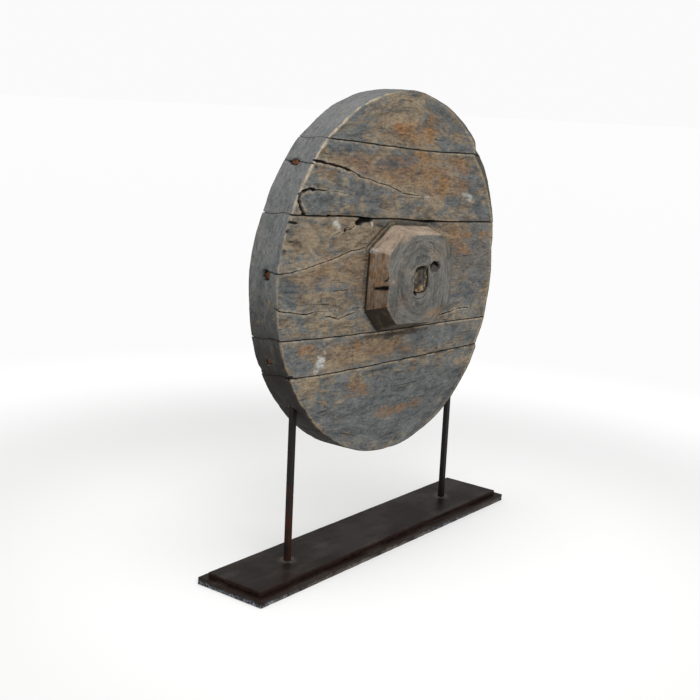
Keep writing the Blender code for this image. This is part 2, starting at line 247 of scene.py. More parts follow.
# Dark patches: soot and marks along joints and cracks. The first one, along joint c under the hub, is a
# painted shadow
SOOT_AND_SHADOW = [
    (-5, -114, 118, 7, -2, 0.8), (-316, 108, 22, 16, -10, 0.3), (-318, 88, 22, 8, -15, 0.3),
    (-338, 70, 6, 5, 0, 0.4), (-301, -200, 10, 30, 28, 0.7), (-320, 20, 20, 8, 0, 0.3),
    (-28, -228, 8, 2, 0, 0.8), (234, 141, 18, 2, -14, 0.8), (230, -280, 60, 40, 40, 0.4),
    (-134, -139, 1.5, 22, 0, 0.7), (-153, -139, 1.2, 20, 0, 0.5), (-205, 128, 90, 4, -4, 0.35),
    (60, 101, 80, 5, -4, 0.5), (200, -176, 110, 4, -2, 0.6), (-240, 172, 20, 5, -4, 0.4),
]  # fmt: skip
HUB_RUST = [(60, -76, 36, 14, 4, 0.5), (-58, -42, 26, 16, 30, 0.15), (70, 48, 30, 20, 0, 0.2)]
HUB_PAINT = [(-98, 56, 6, 4, 30, 0.5)]
# Bluish smears and pale grit along the lower board's bottom edge: middle, half length and strength
BOARD_SMEARS = [(-405, 40, 0.9), (-360, 22, 0.8), (-330, 20, 0.4), (150, 50, 0.7), (240, 50, 0.8)]
BOARD_SMEARS += [(395, 40, 1)]
BOARD_GRIT = [(-240, 90, 0.6), (-140, 80, 0.9), (-20, 60, 1), (80, 40, 1), (-380, 40, 0.5), (330, 60, 0.5)]

# Numbers that scatter the lattice's values
HASH_STEPS = np.array([127.1, 311.7, 74.7])
HASH_SEED_STEP = 53.13
HASH_GAIN = 43758.5453


def lattice(cell, seed):
    """A repeatable random number from -1 to 1 for each whole-number point."""
    mixed = cell @ HASH_STEPS[: cell.shape[1]] + seed * HASH_SEED_STEP
    return 2 * (np.sin(mixed) * HASH_GAIN % 1.0) - 1


def noise(points, size, seed=0):
    """Smooth noise from -1 to 1, with features of this size: a number, or one for each axis."""
    scaled = np.asarray(points, float) / size
    cell = np.floor(scaled)
    t = scaled - cell
    t = t * t * (3 - 2 * t)
    total = np.zeros(len(scaled))
    for corner in product((0, 1), repeat=scaled.shape[1]):
        chosen = np.array(corner)
        total += np.prod(np.where(chosen, t, 1 - t), axis=1) * lattice(cell + chosen, seed)
    return total


def fractal(points, size, seed=0, octaves=3):
    size = np.asarray(size, float)
    return sum(noise(points, size / 2**k, seed + k) / 2**k for k in range(octaves))


def ease(x, low, high):
    """From 0 at low to 1 at high, smoothly."""
    t = np.clip((x - low) / (high - low), 0, 1)
    return t * t * (3 - 2 * t)


def fade(x, low, high):
    """From 1 at low to 0 at high, smoothly."""
    return 1 - ease(x, low, high)


def strongest(*masks):
    return np.max(np.broadcast_arrays(*masks), axis=0)


def angle_between(angle, centre):
    """The difference between angles in degrees, from -180 to 180."""
    return (angle - centre + 180) % 360 - 180


def rim_radius(angle):
    """The worn rim's radius at angles in radians, with a slightly scalloped edge."""
    degrees = np.degrees(angle)
    shape = np.interp(degrees % 360, *zip(*RIM_SHAPE))
    round_line = np.stack([np.cos(angle), np.sin(angle)], axis=-1).reshape(-1, 2)
    waves = 0.7 * (1 + noise(round_line, 0.22, 5)) + 0.5 * (1 + noise(round_line, 0.06, 6))
    chip_angle, chip_width, chip_depth = RIM_CHIP
    missing = chip_depth * np.exp(-((angle_between(degrees, chip_angle) / chip_width) ** 2))
    for start, fade_from, fade_to, height in RIM_STEPS:
        past = angle_between(degrees, start)
        missing += height * ease(past, 0, 0.4) * fade(past, fade_from, fade_to)
    return RADIUS + shape - waves.reshape(np.shape(angle)) - missing


def joint_line(joint, x):
    """How high the joint lies at each x."""
    xs, zs = zip(*JOINTS[joint].line)
    x = np.asarray(x, float)
    wobble = noise(x.reshape(-1, 1), 34, ord(joint)) + 0.4 * noise(x.reshape(-1, 1), 9, ord(joint))
    return np.interp(x, xs, zs) + 0.6 * wobble.reshape(x.shape)


def plank_joints(name):
    """The plank's joints, with side 1 for the one above it and -1 for the one below it."""
    plank = PLANKS[name]
    return [(joint, side) for joint, side in ((plank.above, 1), (plank.below, -1)) if joint]


def end_angle(joint, side, lift):
    """The rim angle where the joint's line, moved up by lift, ends: on the right for side 1."""
    low, high = (-80, 80) if side > 0 else (260, 100)
    for _ in range(40):
        middle = (low + high) / 2
        angle = np.array([radians(middle)])
        r = rim_radius(angle)
        above = r * np.sin(angle) > joint_line(joint, r * np.cos(angle)) + lift
        low, high = (low, middle) if above[0] else (middle, high)
    return radians((low + high) / 2)


def pin_place(name):
    """A rim pin's angle in degrees, and its distance behind the wheel's middle plane."""
    low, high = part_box(f"rim_pin_{name}")
    middle = (low + high) / 2 - CENTRE
    return atan2(middle.z, middle.x) * 180 / pi, middle.y / MM


RIM_PINS = {name: pin_place(name) for name in PIN_HOLES}
JOINT_ENDS = [np.degrees(end_angle(joint, side, 0)) for joint in JOINTS for side in (1, -1)]
# Angles on the rim that need fine steps, and how far on each side
RIM_DETAILS = [(angle, 1.6) for angle, *_ in RIM_CRACKS] + [(angle, 2.6) for angle, _ in RIM_PINS.values()]


def near_angles(degrees, places):
    return np.any([np.abs(angle_between(degrees, angle)) < reach for angle, reach in places], axis=0)


def rim_spacing(points):
    """Fine steps at the rim's cracks, pins and joints, and wide ones elsewhere."""
    degrees = np.degrees(np.arctan2(points[:, 1], points[:, 0]))
    spacing = np.where(near_angles(degrees, RIM_DETAILS), 1.3, 3.6)
    return np.where(near_angles(degrees, [(angle, 0.75) for angle in JOINT_ENDS]), 0.7, spacing)


def edge_spacing(points):
    """Fine steps along a joint at the rim and at hollows, and wide ones elsewhere."""
    near = np.zeros(len(points), bool)
    for x, z, half_x, half_z, _, _ in HOLLOWS:
        near |= (np.abs(points[:, 0] - x) < half_x + 4) & (np.abs(points[:, 1] - z) < half_z + 6)
    to_rim = rim_radius(np.arctan2(points[:, 1], points[:, 0])) - np.linalg.norm(points, axis=1)
    return np.where(to_rim < 4, 0.8, np.where(near, 1.5, 3.6))


def thin_out(points, spacing):
    """Points along a fine line, kept so that the steps follow the spacing at each point."""
    steps = np.linalg.norm(np.diff(points, axis=0), axis=1)
    travelled = np.concatenate([[0], np.cumsum(steps / spacing(points)[:-1])])
    count = max(2, int(round(travelled[-1])))
    wanted = np.linspace(0, travelled[-1], count + 1)
    return np.stack([np.interp(wanted, travelled, points[:, k]) for k in (0, 1)], axis=1)


def rim_arc(start, end):
    angles = np.linspace(start, end, 1500)
    r = rim_radius(angles)
    return thin_out(np.stack([r * np.cos(angles), r * np.sin(angles)], axis=1), rim_spacing)


def joint_edge(joint, start, end, lift):
    x = np.linspace(start, end, 1500)
    return thin_out(np.stack([x, joint_line(joint, x) + lift], axis=1), edge_spacing)


def plank_outline(name):
    """The plank's outline, counter-clockwise seen from the front, from its lower right corner."""
    ends = {1: (pi / 2, pi / 2), -1: (-pi / 2, 3 * pi / 2)}
    lifts = {}
    for joint, side in plank_joints(name):
        lifts[side] = -side * JOINTS[joint].gap / 2
        ends[side] = end_angle(joint, 1, lifts[side]), end_angle(joint, -1, lifts[side])
    right = rim_arc(ends[-1][0], ends[1][0])
    left = rim_arc(ends[1][1], ends[-1][1])
    arcs = {1: (right, left), -1: (left, right)}
    edges = {side: [] for side in arcs}
    for joint, side in plank_joints(name):
        before, after = arcs[side]
        edges[side] = [joint_edge(joint, before[-1, 0], after[0, 0], lifts[side])[:-1]]
    return np.concatenate([right[:-1], *edges[1], left[:-1], *edges[-1]])


def inside(points, outline):
    """Which points lie inside the closed outline."""
    x, z = points[:, :1], points[:, 1:]
    x1, z1 = outline[:, 0], outline[:, 1]
    x2, z2 = np.roll(x1, -1), np.roll(z1, -1)
    rises = (z1 > z) != (z2 > z)
    slope = np.where(z2 == z1, 1e-9, z2 - z1)
    crosses = x < (x2 - x1) * (z - z1) / slope + x1
    return (rises & crosses).sum(axis=1) % 2 == 1


def line_distance(points, line):
    """Each point's distance to a line of segments, how far along it the nearest point is, and its length."""
    best = np.full(len(points), 1e9)
    along = np.zeros(len(points))
    start = 0.0
    line = np.asarray(line, float)
    for a, b in zip(line, line[1:]):
        length = np.linalg.norm(b - a)
        t = np.clip(((points - a) @ (b - a)) / length**2, 0, 1)
        distance = np.linalg.norm(points - a - t[:, None] * (b - a), axis=1)
        nearer = distance < best
        best = np.where(nearer, distance, best)
        along = np.where(nearer, start + t * length, along)
        start += length
    return best, along, start


def keep_clear(candidates, gap, kept):
    """The candidates further than gap from every kept point."""
    tree = KDTree(len(kept))
    for i, (x, z) in enumerate(kept):
        tree.insert((x, z, 0), i)
    tree.balance()
    return np.array([c for c in candidates if tree.find((c[0], c[1], 0))[2] > gap]).reshape(-1, 2)


def hex_grid(low, high, step):
    points = []
    for k, z in enumerate(np.arange(low[1], high[1], step * 0.866)):
        x = np.arange(low[0] + (k % 2) * step / 2, high[0], step)
        points.append(np.stack([x, np.full(len(x), z)], axis=1))
    return np.concatenate(points)


def offset_rows(line, offsets, step):
    """Rows of points beside a line of segments, at these distances to its left."""
    line = np.asarray(line, float)
    steps = np.linalg.norm(np.diff(line, axis=0), axis=1)
    travelled = np.concatenate([[0], np.cumsum(steps)])
    wanted = np.linspace(0, travelled[-1], max(2, int(travelled[-1] / step)))
    middle = np.stack([np.interp(wanted, travelled, line[:, k]) for k in (0, 1)], axis=1)
    ahead = np.gradient(middle, axis=0)
    ahead /= np.linalg.norm(ahead, axis=1)[:, None]
    left = np.stack([-ahead[:, 1], ahead[:, 0]], axis=1)
    return np.concatenate([middle + left * offset for offset in offsets])


def face_points(outline, holes, step, cracks=(), hollows=()):
    """Points inside a face: fine rows at its edge and its cracks, a fine grid in hollows, and a wide grid."""
    closed = np.concatenate([outline, outline[:1]])
    kept = np.concatenate([outline, *holes])
    batches = []
    for line, width, _ in cracks:
        half = width / 2
        across = (0, half, -half, 0.6 * half, -0.6 * half, half + 1.1, -half - 1.1)
        batches.append((offset_rows(line, across, 1.5), 0.5))
    for x, z, half_x, half_z, _, _ in hollows:
        fine = hex_grid((x - half_x - 3, z - half_z - 3), (x + half_x + 3, z + half_z + 3), 1.5)
        batches.append((fine, 0.9))
    for distance, spacing in ((1.2, 0.7), (2.8, 1.2), (5.2, 1.8)):
        batches.append((offset_rows(closed, (distance,), 3.2), spacing))
    grid = hex_grid(outline.min(axis=0), outline.max(axis=0), step)
    batches.append((grid, step * 0.62))
    for candidates, gap in batches:
        candidates = candidates[inside(candidates, outline)]
        for hole in holes:
            candidates = candidates[~inside(candidates, hole)]
        kept = np.concatenate([kept, keep_clear(candidates, gap, kept)])
    return kept[len(outline) + sum(len(hole) for hole in holes) :]


def edges_of(corners):
    return zip(corners, corners[1:] + corners[:1])


def stepped_outline(corners, counts):
    """An outline through the corners, with this many steps along each edge."""
    steps = [a + (b - a) * (np.arange(n) / n)[:, None] for (a, b), n in zip(edges_of(corners), counts)]
    return np.concatenate(steps)


def outline_through(corners, step):
    corners = [np.array(corner, float) for corner in corners]
    counts = [max(1, round(np.linalg.norm(b - a) / step)) for a, b in edges_of(corners)]
    return stepped_outline(corners, counts)


def square_outline(half, corner, step):
    """A square with cut corners, counter-clockwise, in steps of this length."""
    near = half - corner
    corners = [(-near, -half), (near, -half), (half, -near), (half, near)]
    corners += [(near, half), (-near, half), (-half, near), (-half, -near)]
    return outline_through(corners, step)


class Shell:
    """A closed mesh built from rings around the y axis and flat faces across it."""

    def __init__(self):
        self.points = []
        self.faces = []

    def ring(self, outline, y):
        start = len(self.points)
        self.points += [(x, y, z) for x, z in outline]
        return list(range(start, len(self.points)))

    def tube(self, outlines, levels):
        """Joins outlines of equal length at these levels, the one nearest the front first, and returns the
        first ring and the last. Outer rings turn counter-clockwise seen from the front, and a hole's turn
        clockwise."""
        rings = [self.ring(outline, y) for outline, y in zip(outlines, levels)]
        for near, far in zip(rings, rings[1:]):
            for i in range(len(near)):
                j = (i + 1) % len(near)
                self.faces.append((near[i], far[i], far[j], near[j]))
        return rings[0], rings[-1]

    def straight(self, outline, levels):
        return self.tube([outline] * len(levels), levels)

    def flat(self, ring):
        return np.array([(self.points[i][0], self.points[i][2]) for i in ring])

    def face(self, outer, holes, inner, y, to_front):
        """Fills the outer ring with triangles through the inner points, apart from its holes."""
        edges, index = [], []
        for ring in (outer, *holes):
            first, last = len(index), len(index) + len(ring) - 1
            edges += [(i, i + 1) for i in range(first, last)] + [(last, first)]
            index += ring
        points = [Vector(p) for p in self.flat(index)] + [Vector(p) for p in inner]
        index += self.ring(inner, y)
        whole = [list(range(len(outer)))]
        made, _, triangles, origins, _, _ = delaunay_2d_cdt(points, edges, whole, 1, 1e-5)
        to_mesh = []
        for point, origin in zip(made, origins):
            if not origin:
                index += self.ring([tuple(point)], y)
                origin = [len(index) - 1]
            to_mesh.append(index[min(origin)])
        corners = np.array([[made[i] for i in t] for t in triangles])
        in_hole = np.zeros(len(triangles), bool)
        for hole in holes:
            in_hole |= inside(corners.mean(axis=1), self.flat(hole))
        for triangle, skip in zip(triangles, in_hole):
            a, b, c = (to_mesh[i] for i in triangle)
            if not skip and len({a, b, c}) == 3:
                self.faces.append((a, b, c) if to_front else (a, c, b))


def groove_depth(points, cracks, seed):
    """How deep the front is cut at each (x, z) by the cracks, which are ragged and taper at their ends."""
    depth = np.zeros(len(points))
    jagged = np.stack([noise(points, 6, seed), noise(points, (9, 5), seed + 1)], axis=1)
    for number, (line, width, deepest) in enumerate(cracks):
        distance, along, length = line_distance(points + min(0.9, 0.3 * width) * jagged, line)
        ragged = 1 + 0.35 * noise(points, 5, seed + number)
        taper = np.clip(np.minimum(along, length - along) / 9 + 0.35, 0, 1)
        half = width / 2 * ragged * taper
        depth = np.maximum(depth, deepest * taper * np.clip(1 - distance / half, 0, 1) ** 0.7)
    return depth


def patch_reach(points, patch):
    """How far each (x, z) point is from an oval patch's centre, where 1 is its edge."""
    x, z, half_x, half_z, turn = patch
    c, s = cos(radians(turn)), sin(radians(turn))
    dx, dz = points[:, 0] - x, points[:, 1] - z
    return np.hypot((dx * c + dz * s) / half_x, (dz * c - dx * s) / half_z)


def hollow_depth(points, hollows, seed):
    depth = np.zeros(len(points))
    for number, (*patch, deepest) in enumerate(hollows):
        reach = patch_reach(points, patch) + 0.22 * noise(points, 6, seed + number)
        depth = np.maximum(depth, deepest * fade(reach, 0.72, 1.08))
    return depth


def spots(points, patches, seed, ragged=0.3):
    """From 0 to 1, how strongly the patches cover each (x, z) point. Their edges are ragged."""
    amount = np.zeros(len(points))
    rough = ragged * fractal(points, (22, 9), seed)
    for *patch, strength in patches:
        amount = np.maximum(amount, strength * fade(patch_reach(points, patch) + rough, 0.6, 1.3))
    return amount


def front_cut(flat):
    return groove_depth(flat, CRACKS, 40) + hollow_depth(flat, HOLLOWS, 60)


def hub_cut(flat):
    return groove_depth(flat, HUB_CRACKS, 140) + hollow_depth(flat, HUB_HOLLOWS, 150)


def rounded(distances, reaches):
    """How far each face at these distances draws a point in, where the faces meet in a rounded edge."""
    shares = np.array([np.clip(1 - np.maximum(d, 0) / r, 0, 1) for d, r in zip(distances, reaches)])
    length = np.linalg.norm(shares, axis=0)
    scale = np.where(length > 1, 1 / np.maximum(length, 1e-9), 1.0)
    return [reach * share * (1 - scale) for reach, share in zip(reaches, shares)]


def bevel_width(angle):
    return np.interp(angle_between(np.degrees(angle), 0), *zip(*BEVEL))


def wear_joint(joint, side, seed, gap, edge_move, points, to_rim):
    """How far a plank's edge moves from its joint: rounded, ragged, closed at mid thickness, bowed."""
    depth = points[:, 1] - FRONT
    worn = ease(bevel_width(np.arctan2(points[:, 2], points[:, 0])), 4, 9) * fade(to_rim, 3, 10)
    closed = ease(np.minimum(depth, THICKNESS - depth), 2, 9) * (0.9 + 0.1 * ease(to_rim, 1, 5))
    closed = np.maximum(closed, worn)
    ragged = 0.3 * (1 + fractal(points, (16, 10, 10), seed + 3 + side))
    ragged += 0.8 * ease(noise(points, (11, 30, 30), seed + 5 + side), 0.45, 0.9)
    shift = ragged * (1 - closed) - (JOINTS[joint].gap / 2 - 0.2) * closed
    bow = 2.4 * np.sin(2 * pi * depth / THICKNESS) * np.exp(-gap / 14)
    return side * (edge_move + shift * np.exp(-gap / 4)) - bow


def rim_pits(angle, y):
    """How deep the rim is cut at each angle in radians and depth: cracks, and holes round the pins."""
    degrees = np.degrees(angle)
    depth = y - FRONT
    cut = np.zeros(len(angle))
    for middle, width, deepest, end, drift in RIM_CRACKS:
        across = radians(1) * angle_between(degrees, middle) * RADIUS - drift * depth / THICKNESS
        across = across + 0.8 * noise(np.stack([y, across * 0], axis=1), 6, int(middle))
        reach = np.clip(1 - np.abs(across) / (width / 2 + 0.4), 0, 1)
        cut = np.maximum(cut, deepest * fade(depth, end * 0.5, end) * reach)
    for name, (middle, level) in RIM_PINS.items():
        half_along, half_across, deepest = PIN_HOLES[name]
        along = radians(1) * angle_between(degrees, middle) * RADIUS
        place = np.stack([along, y - level], axis=1)
        reach = np.hypot(along / half_along, (y - level) / half_across) + 0.4 * noise(place, 5, int(middle))
        cut = np.maximum(cut, deepest * fade(reach, 0.8, 1.1))
    return cut


def wear_plank(name, points):
    """Moves a plank's points: rounded edges, waves, cracks, hollows, ragged joints and pin holes."""
    seed = 10 + 17 * PLANK_ORDER.index(name)
    flat = points[:, [0, 2]]
    depth = points[:, 1] - FRONT
    angle = np.arctan2(flat[:, 1], flat[:, 0])
    radial = np.stack([np.cos(angle), np.sin(angle)], axis=1)
    to_rim = rim_radius(angle) - np.linalg.norm(flat, axis=1)
    bevel = bevel_width(angle)
    on_rim = ease(depth, 3, 9) * fade(to_rim, 2, 8)
    distances = [depth, THICKNESS - depth, to_rim]
    reaches = [
        1.8 + 0.28 * (bevel - CRISP_BEVEL) * fade(to_rim, bevel, bevel + 8),
        np.full(len(points), 1.8),
        np.where(depth < THICKNESS / 2, bevel, CRISP_BEVEL),
    ]
    joints = plank_joints(name)
    for joint, side in joints:
        lift = -side * JOINTS[joint].gap / 2
        distances.append(side * (joint_line(joint, flat[:, 0]) + lift - flat[:, 1]))
        reaches.append(JOINTS[joint].wear * (1 + 0.4 * noise(flat, 14, seed + side)) * (1 - 0.8 * on_rim))
    front_move, rear_move, rim_move, *edge_moves = rounded(distances, reaches)
    moved = points.copy()
    moved[:, 1] += front_move - rear_move
    for (joint, side), gap, edge_move in zip(joints, distances[3:], edge_moves):
        moved[:, 2] -= wear_joint(joint, side, seed, gap, edge_move, points, to_rim)
    rim_noise = 0.45 * (1 + fractal(points, (22, 30, 22), seed + 7)) + 0.25 * (1 + noise(points, 7, seed + 8))
    rim_noise += rim_pits(angle, points[:, 1])
    moved[:, [0, 2]] -= radial * (rim_move + rim_noise * np.exp(-np.maximum(to_rim, 0) / 5))[:, None]
    waves = 0.45 * (1 + fractal(flat, (120, 34), seed)) + 0.22 * (1 + fractal(flat, (46, 5), seed + 1))
    recess = PLANKS[name].recess
    rear_waves = 0.5 * (1 + fractal(flat, (110, 30), seed + 11)) + 0.5 * recess
    share = depth / THICKNESS
    moved[:, 1] += (front_cut(flat) + waves + recess) * (1 - share) - rear_waves * share
    return moved


def link(name, data):
    made = bpy.data.objects.new(name, data)
    bpy.context.scene.collection.objects.link(made)
    return made


def add_piece(node, points, faces, material, body):
    """The worn piece that replaces a CAD node, from millimetres round the wheel's centre."""
    name = f"{node}_wood"
    mesh = bpy.data.meshes.new(name)
    mesh.from_pydata([tuple(CENTRE + Vector(p) * MM) for p in points], [], faces)
    mesh.materials.append(material)
    mesh.shade_smooth()
    piece = link(name, mesh)
    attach(piece, body)
    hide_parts(node)
    return piece


def grown_copy(node):
    """The solid of a CAD node, larger by the fitting gap all round, to cut its hole with."""
    corner_gain = 1.4  # a corner's normal points between its faces
    shape = bmesh.new()
    shape.from_mesh(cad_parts[node].data)
    bmesh.ops.remove_doubles(shape, verts=shape.verts, dist=1e-5)
    bmesh.ops.recalc_face_normals(shape, faces=shape.faces)
    shape.normal_update()
    points = [tuple(v.co + v.normal * FIT_GAP * MM * corner_gain) for v in shape.verts]
    shape.verts.index_update()
    faces = [[v.index for v in f.verts] for f in shape.faces]
    shape.free()
    return points, faces


def round_post(x, y, low, high, radius, sides=24):
    """An upright cylinder in the frame's metres, closed at both ends."""
    turn = [2 * pi * i / sides for i in range(sides)]
    points = [(x + radius * cos(t), y + radius * sin(t), z) for z in (low, high) for t in turn]
    faces = [list(range(sides))[::-1], list(range(sides, 2 * sides))]
    faces += [(i, (i + 1) % sides, sides + (i + 1) % sides, sides + i) for i in range(sides)]
    return points, faces


def cut_away(piece, shapes):
    """Cuts closed shapes out of a piece."""
    points, faces = [], []
    for shape_points, shape_faces in shapes:
        faces += [[i + len(points) for i in face] for face in shape_faces]
        points += shape_points
    mesh = bpy.data.meshes.new("cutter")
    mesh.from_pydata(points, [], faces)
    cutter = link("cutter", mesh)
    modifier = piece.modifiers.new("cut", "BOOLEAN")
    modifier.operation = "DIFFERENCE"
    modifier.solver = "EXACT"
    modifier.object = cutter
    bpy.context.view_layer.update()
    result = bpy.data.meshes.new_from_object(piece.evaluated_get(bpy.context.evaluated_depsgraph_get()))
    piece.modifiers.clear()
    old = piece.data
    piece.data = result
    result.name = piece.name
    bpy.data.meshes.remove(old)
    bpy.data.objects.remove(cutter)
    bpy.data.meshes.remove(mesh)


class Surface:
    """A piece's points in millimetres from the wheel's centre, and the way they face."""

    def __init__(self, piece):
        self.mesh = piece.data
        self.places = (self.read(self.mesh.vertices, "co") - np.array(CENTRE)) / MM
        self.normals = self.read(self.mesh.vertex_normals, "vector")
        self.x, self.y, self.z = self.places.T
        self.flat = self.places[:, [0, 2]]

    def read(self, items, key):
        values = np.zeros(len(items) * 3)
        items.foreach_get(key, values)
        return values.reshape(-1, 3)

    def facing(self, side, low, high):
        """From 0 to 1, which points face the rear (side 1) or the front (side -1)."""
        return ease(side * self.normals[:, 1], low, high)

    def outward(self, angle):
        """How far each point faces away from the middle, which it sees at this angle."""
        return self.normals[:, 0] * np.cos(angle) + self.normals[:, 2] * np.sin(angle)

    def write_masks(self, **masks):
        for name, values in masks.items():
            attribute = self.mesh.attributes.new(name, "FLOAT", "POINT")
            attribute.data.foreach_set("value", np.clip(values, 0, 1).astype(np.float32))

    def write_fibre(self, along, across, deep):
        """Where each point lies in its wood, in metres: along the fibres, and across them both ways."""
        attribute = self.mesh.attributes.new("fibre", "FLOAT_VECTOR", "POINT")
        values = np.stack([along, across, deep], axis=1) * MM
        attribute.data.foreach_set("vector", values.astype(np.float32).ravel())


def plank_fibre(name, s, on_rim, angle):
    """The planks' fibres run along x and follow their joints. Those of the top bend with the rim,
    and the rim's own run round it."""
    joints = plank_joints(name)
    slope = sum(joint_line(joint, s.x) - joint_line(joint, s.x * 0) for joint, _ in joints) / len(joints)
    wave = 5 * noise(s.flat, (130, 60), 3) + 1.6 * noise(s.flat, (40, 22), 4)
    bent = ease(np.abs(s.z), 250, 310)
    across = (s.z - slope + wave) * (1 - bent) + np.sign(s.z) * np.hypot(s.x, s.z) * bent
    along = np.where(on_rim, RADIUS * np.sin(angle) * 1.1, s.x) + 900 * PLANK_ORDER.index(name)
    deep = np.where(on_rim, RADIUS * np.cos(angle) * 0.1, s.y)
    return along, np.where(on_rim, s.y, across), deep


def joint_masks(name, flat, front, on_rim):
    """Where a plank's points lie in a joint, and on the pale worn edge beside it."""
    in_joint, lip = np.zeros(len(flat)), np.zeros(len(flat))
    patchy = ease(noise(flat, (26, 90), 200 + PLANK_ORDER.index(name)), -0.5, 0.3)
    for joint, side in plank_joints(name):
        gap = side * (joint_line(joint, flat[:, 0]) - flat[:, 1])
        half = JOINTS[joint].gap / 2
        shade = np.where(on_rim, JOINTS[joint].rim_shade, 1)
        in_joint = np.maximum(in_joint, fade(gap, half + 0.1, half + 0.7) * shade)
        strength = JOINTS[joint].lip_under if side > 0 else JOINTS[joint].lip_over
        lip = np.maximum(lip, strength * fade(gap, half + 2.2, half + 4.2) * patchy * front)
    return in_joint, lip


def hub_foot_painted_shade(s, front):
    """Painted shade on the plank: the dark line round the hub's foot, and the second one above its upper left
    side.
    """
    hub_gap = -np.min([d for d, _ in hub_sides(s.places * [1, 0, 1], -1, 0)], axis=0)
    second = np.exp(-(((hub_gap - 6.5 + noise(s.flat, 12, 77)) / 1.6) ** 2)) * ease(s.z - s.x, 60, 110)
    return front * np.maximum(second, 0.6 * fade(hub_gap, 1, 4))


def paint_plank(name, piece):
    """Sets where the wood is rusty, pale, dark or worn, and where highlights and shade are painted, from each
    point's place and normal.
    """
    s = Surface(piece)
    flat, depth = s.flat, s.y - FRONT
    angle = np.arctan2(s.z, s.x)
    degrees = np.degrees(angle) % 360
    to_rim = rim_radius(angle) - np.linalg.norm(flat, axis=1)
    on_rim = (s.outward(angle) > 0.62) & (to_rim < 14)
    front = s.facing(-1, 0.1, 0.6) * (depth < 16)
    rear = s.facing(1, 0.2, 0.6)
    in_joint, lip = joint_masks(name, flat, front, on_rim)
    cut = front_cut(flat)
    cracked = ease(cut, 0.5, 3.4) * (depth < 26) * ~(on_rim & (depth > 5))
    pitted = ease(rim_pits(angle, s.y), 0.6, 3.0) * (to_rim < 14)
    beside = groove_depth(flat, [(line, width + 4.5, 1) for line, width, _ in LIPPED_CRACKS], 40) > 0.05
    crack_lips = beside * front * (cut < 0.2)
    bevel = bevel_width(angle)
    broad_bevel = ease(bevel, 4, 9)
    wander = 1.6 * fractal(s.places, 14, 76)
    arris = to_rim + depth + wander
    pale_line = fade(arris, 2.8, 5.8) * ease(degrees, 84, 110) * fade(degrees, 188, 225)
    pale_line *= 1 - 0.5 * ease(degrees, 143, 165)
    brown_line = fade(arris, 3, 6) * ease(degrees, 185, 205) * fade(degrees, 222, 262)
    bevel_ring = np.exp(-((np.abs(to_rim + wander - bevel) / 2.2) ** 2)) * broad_bevel * front
    # Painted highlight on the rim's upper left, which also turns it bluer there, and painted shade on its
    # lower left
    rim_painted_highlight = on_rim * ease(degrees, 75, 110) * fade(degrees, 135, 200)
    rim_painted_shade = on_rim * ease(degrees, 168, 210) * fade(degrees, 300, 350)
    rear_rust = 0.45 * ease(fractal(flat, (90, 30), 33 + len(name)), 0.3, 1.0)
    rear_tan = 0.25 + 0.3 * ease(fractal(flat, (120, 30), 43), 0.2, 1.0)
    s.write_masks(
        rust=strongest(spots(flat, RUST, 70) * front, 0.8 * brown_line, rear * rear_rust),
        tan=np.maximum(spots(flat, TAN, 71) * front + rear * rear_tan, bevel_ring),
        blue=np.maximum(spots(flat, BLUE, 72) * front, on_rim * 0.35 + 0.5 * rim_painted_highlight),
        paint=spots(flat, PAINT, 73, 0.45) * front,
        # Soot spots, and painted shade on the rim's lower left and round the hub's foot
        soot=strongest(spots(flat, SOOT_AND_SHADOW, 74) * front, rim_painted_shade, 0.8 * hub_foot_painted_shade(s, front)),
        wear=strongest(pale_line, lip, 0.35 * brown_line, 0.5 * crack_lips, 0.6 * bevel_ring),
        # Painted shade in cracks, joint gaps and the rim's pin holes
        hollow=strongest(cracked, in_joint * 0.9, pitted),
        # Painted shade on the broad bevel, which faces away from the light
        edge=broad_bevel * fade(to_rim, bevel - 4, bevel - 1) * front,
        light=rim_painted_highlight,
    )
    s.write_fibre(*plank_fibre(name, s, on_rim, angle))


def socket(side):
    """The round hole that an upright stands in, wide enough for the upright's corners."""
    room = 0.5 * MM
    deep = 0.08
    diagonal = 1.4142
    low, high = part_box(f"upright_{side}")
    middle = (low + high) / 2
    radius = (high.x - low.x) / 2 * diagonal + room
    return round_post(middle.x, middle.y, high.z - deep, high.z + room, radius)


def held_by(plank):
    """The dowels and pins whose holes are in this plank."""
    nodes = [f"dowel_{joint}_{side}" for joint, _ in plank_joints(plank) for side in SIDES]
    for pin, (degrees, _) in RIM_PINS.items():
        x, z = RADIUS * cos(radians(degrees)), RADIUS * sin(radians(degrees))
        if all(side * (joint_line(joint, x) - z) > 0 for joint, side in plank_joints(plank)):
            nodes.append(f"rim_pin_{pin}")
    return nodes


def make_plank(name, material):
    outline = plank_outline(name)
    holes = [square_outline(TENON_SIDE, TENON_CORNER, 6)] if name == "centre_plank" else []
    levels = [FRONT + share * THICKNESS for share in ROWS]
    shell = Shell()
    front, rear = shell.straight(outline, levels)
    ends = [shell.straight(hole[::-1], levels[::3]) for hole in holes]
    inner = face_points(outline, holes, 4.6, CRACKS, HOLLOWS)
    shell.face(front, [near for near, _ in ends], inner, FRONT, True)
    shell.face(rear, [far for _, far in ends], face_points(outline, holes, 7.5), REAR, False)
    points = wear_plank(name, np.array(shell.points))
    piece = add_piece(name, points, shell.faces, material, "wheel")
    shapes = [grown_copy(node) for node in held_by(name)]
    if name == "bottom_segment":
        shapes += [socket(side) for side in SIDES]
    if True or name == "bottom_segment":
        cut_away(piece, shapes)
    paint_plank(name, piece)


def reach_along_y(node):
    """Where a CAD node's front and rear ends lie, in millimetres from the wheel's centre."""
    low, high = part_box(node)
    return (low.y - CENTRE.y) / MM, (high.y - CENTRE.y) / MM


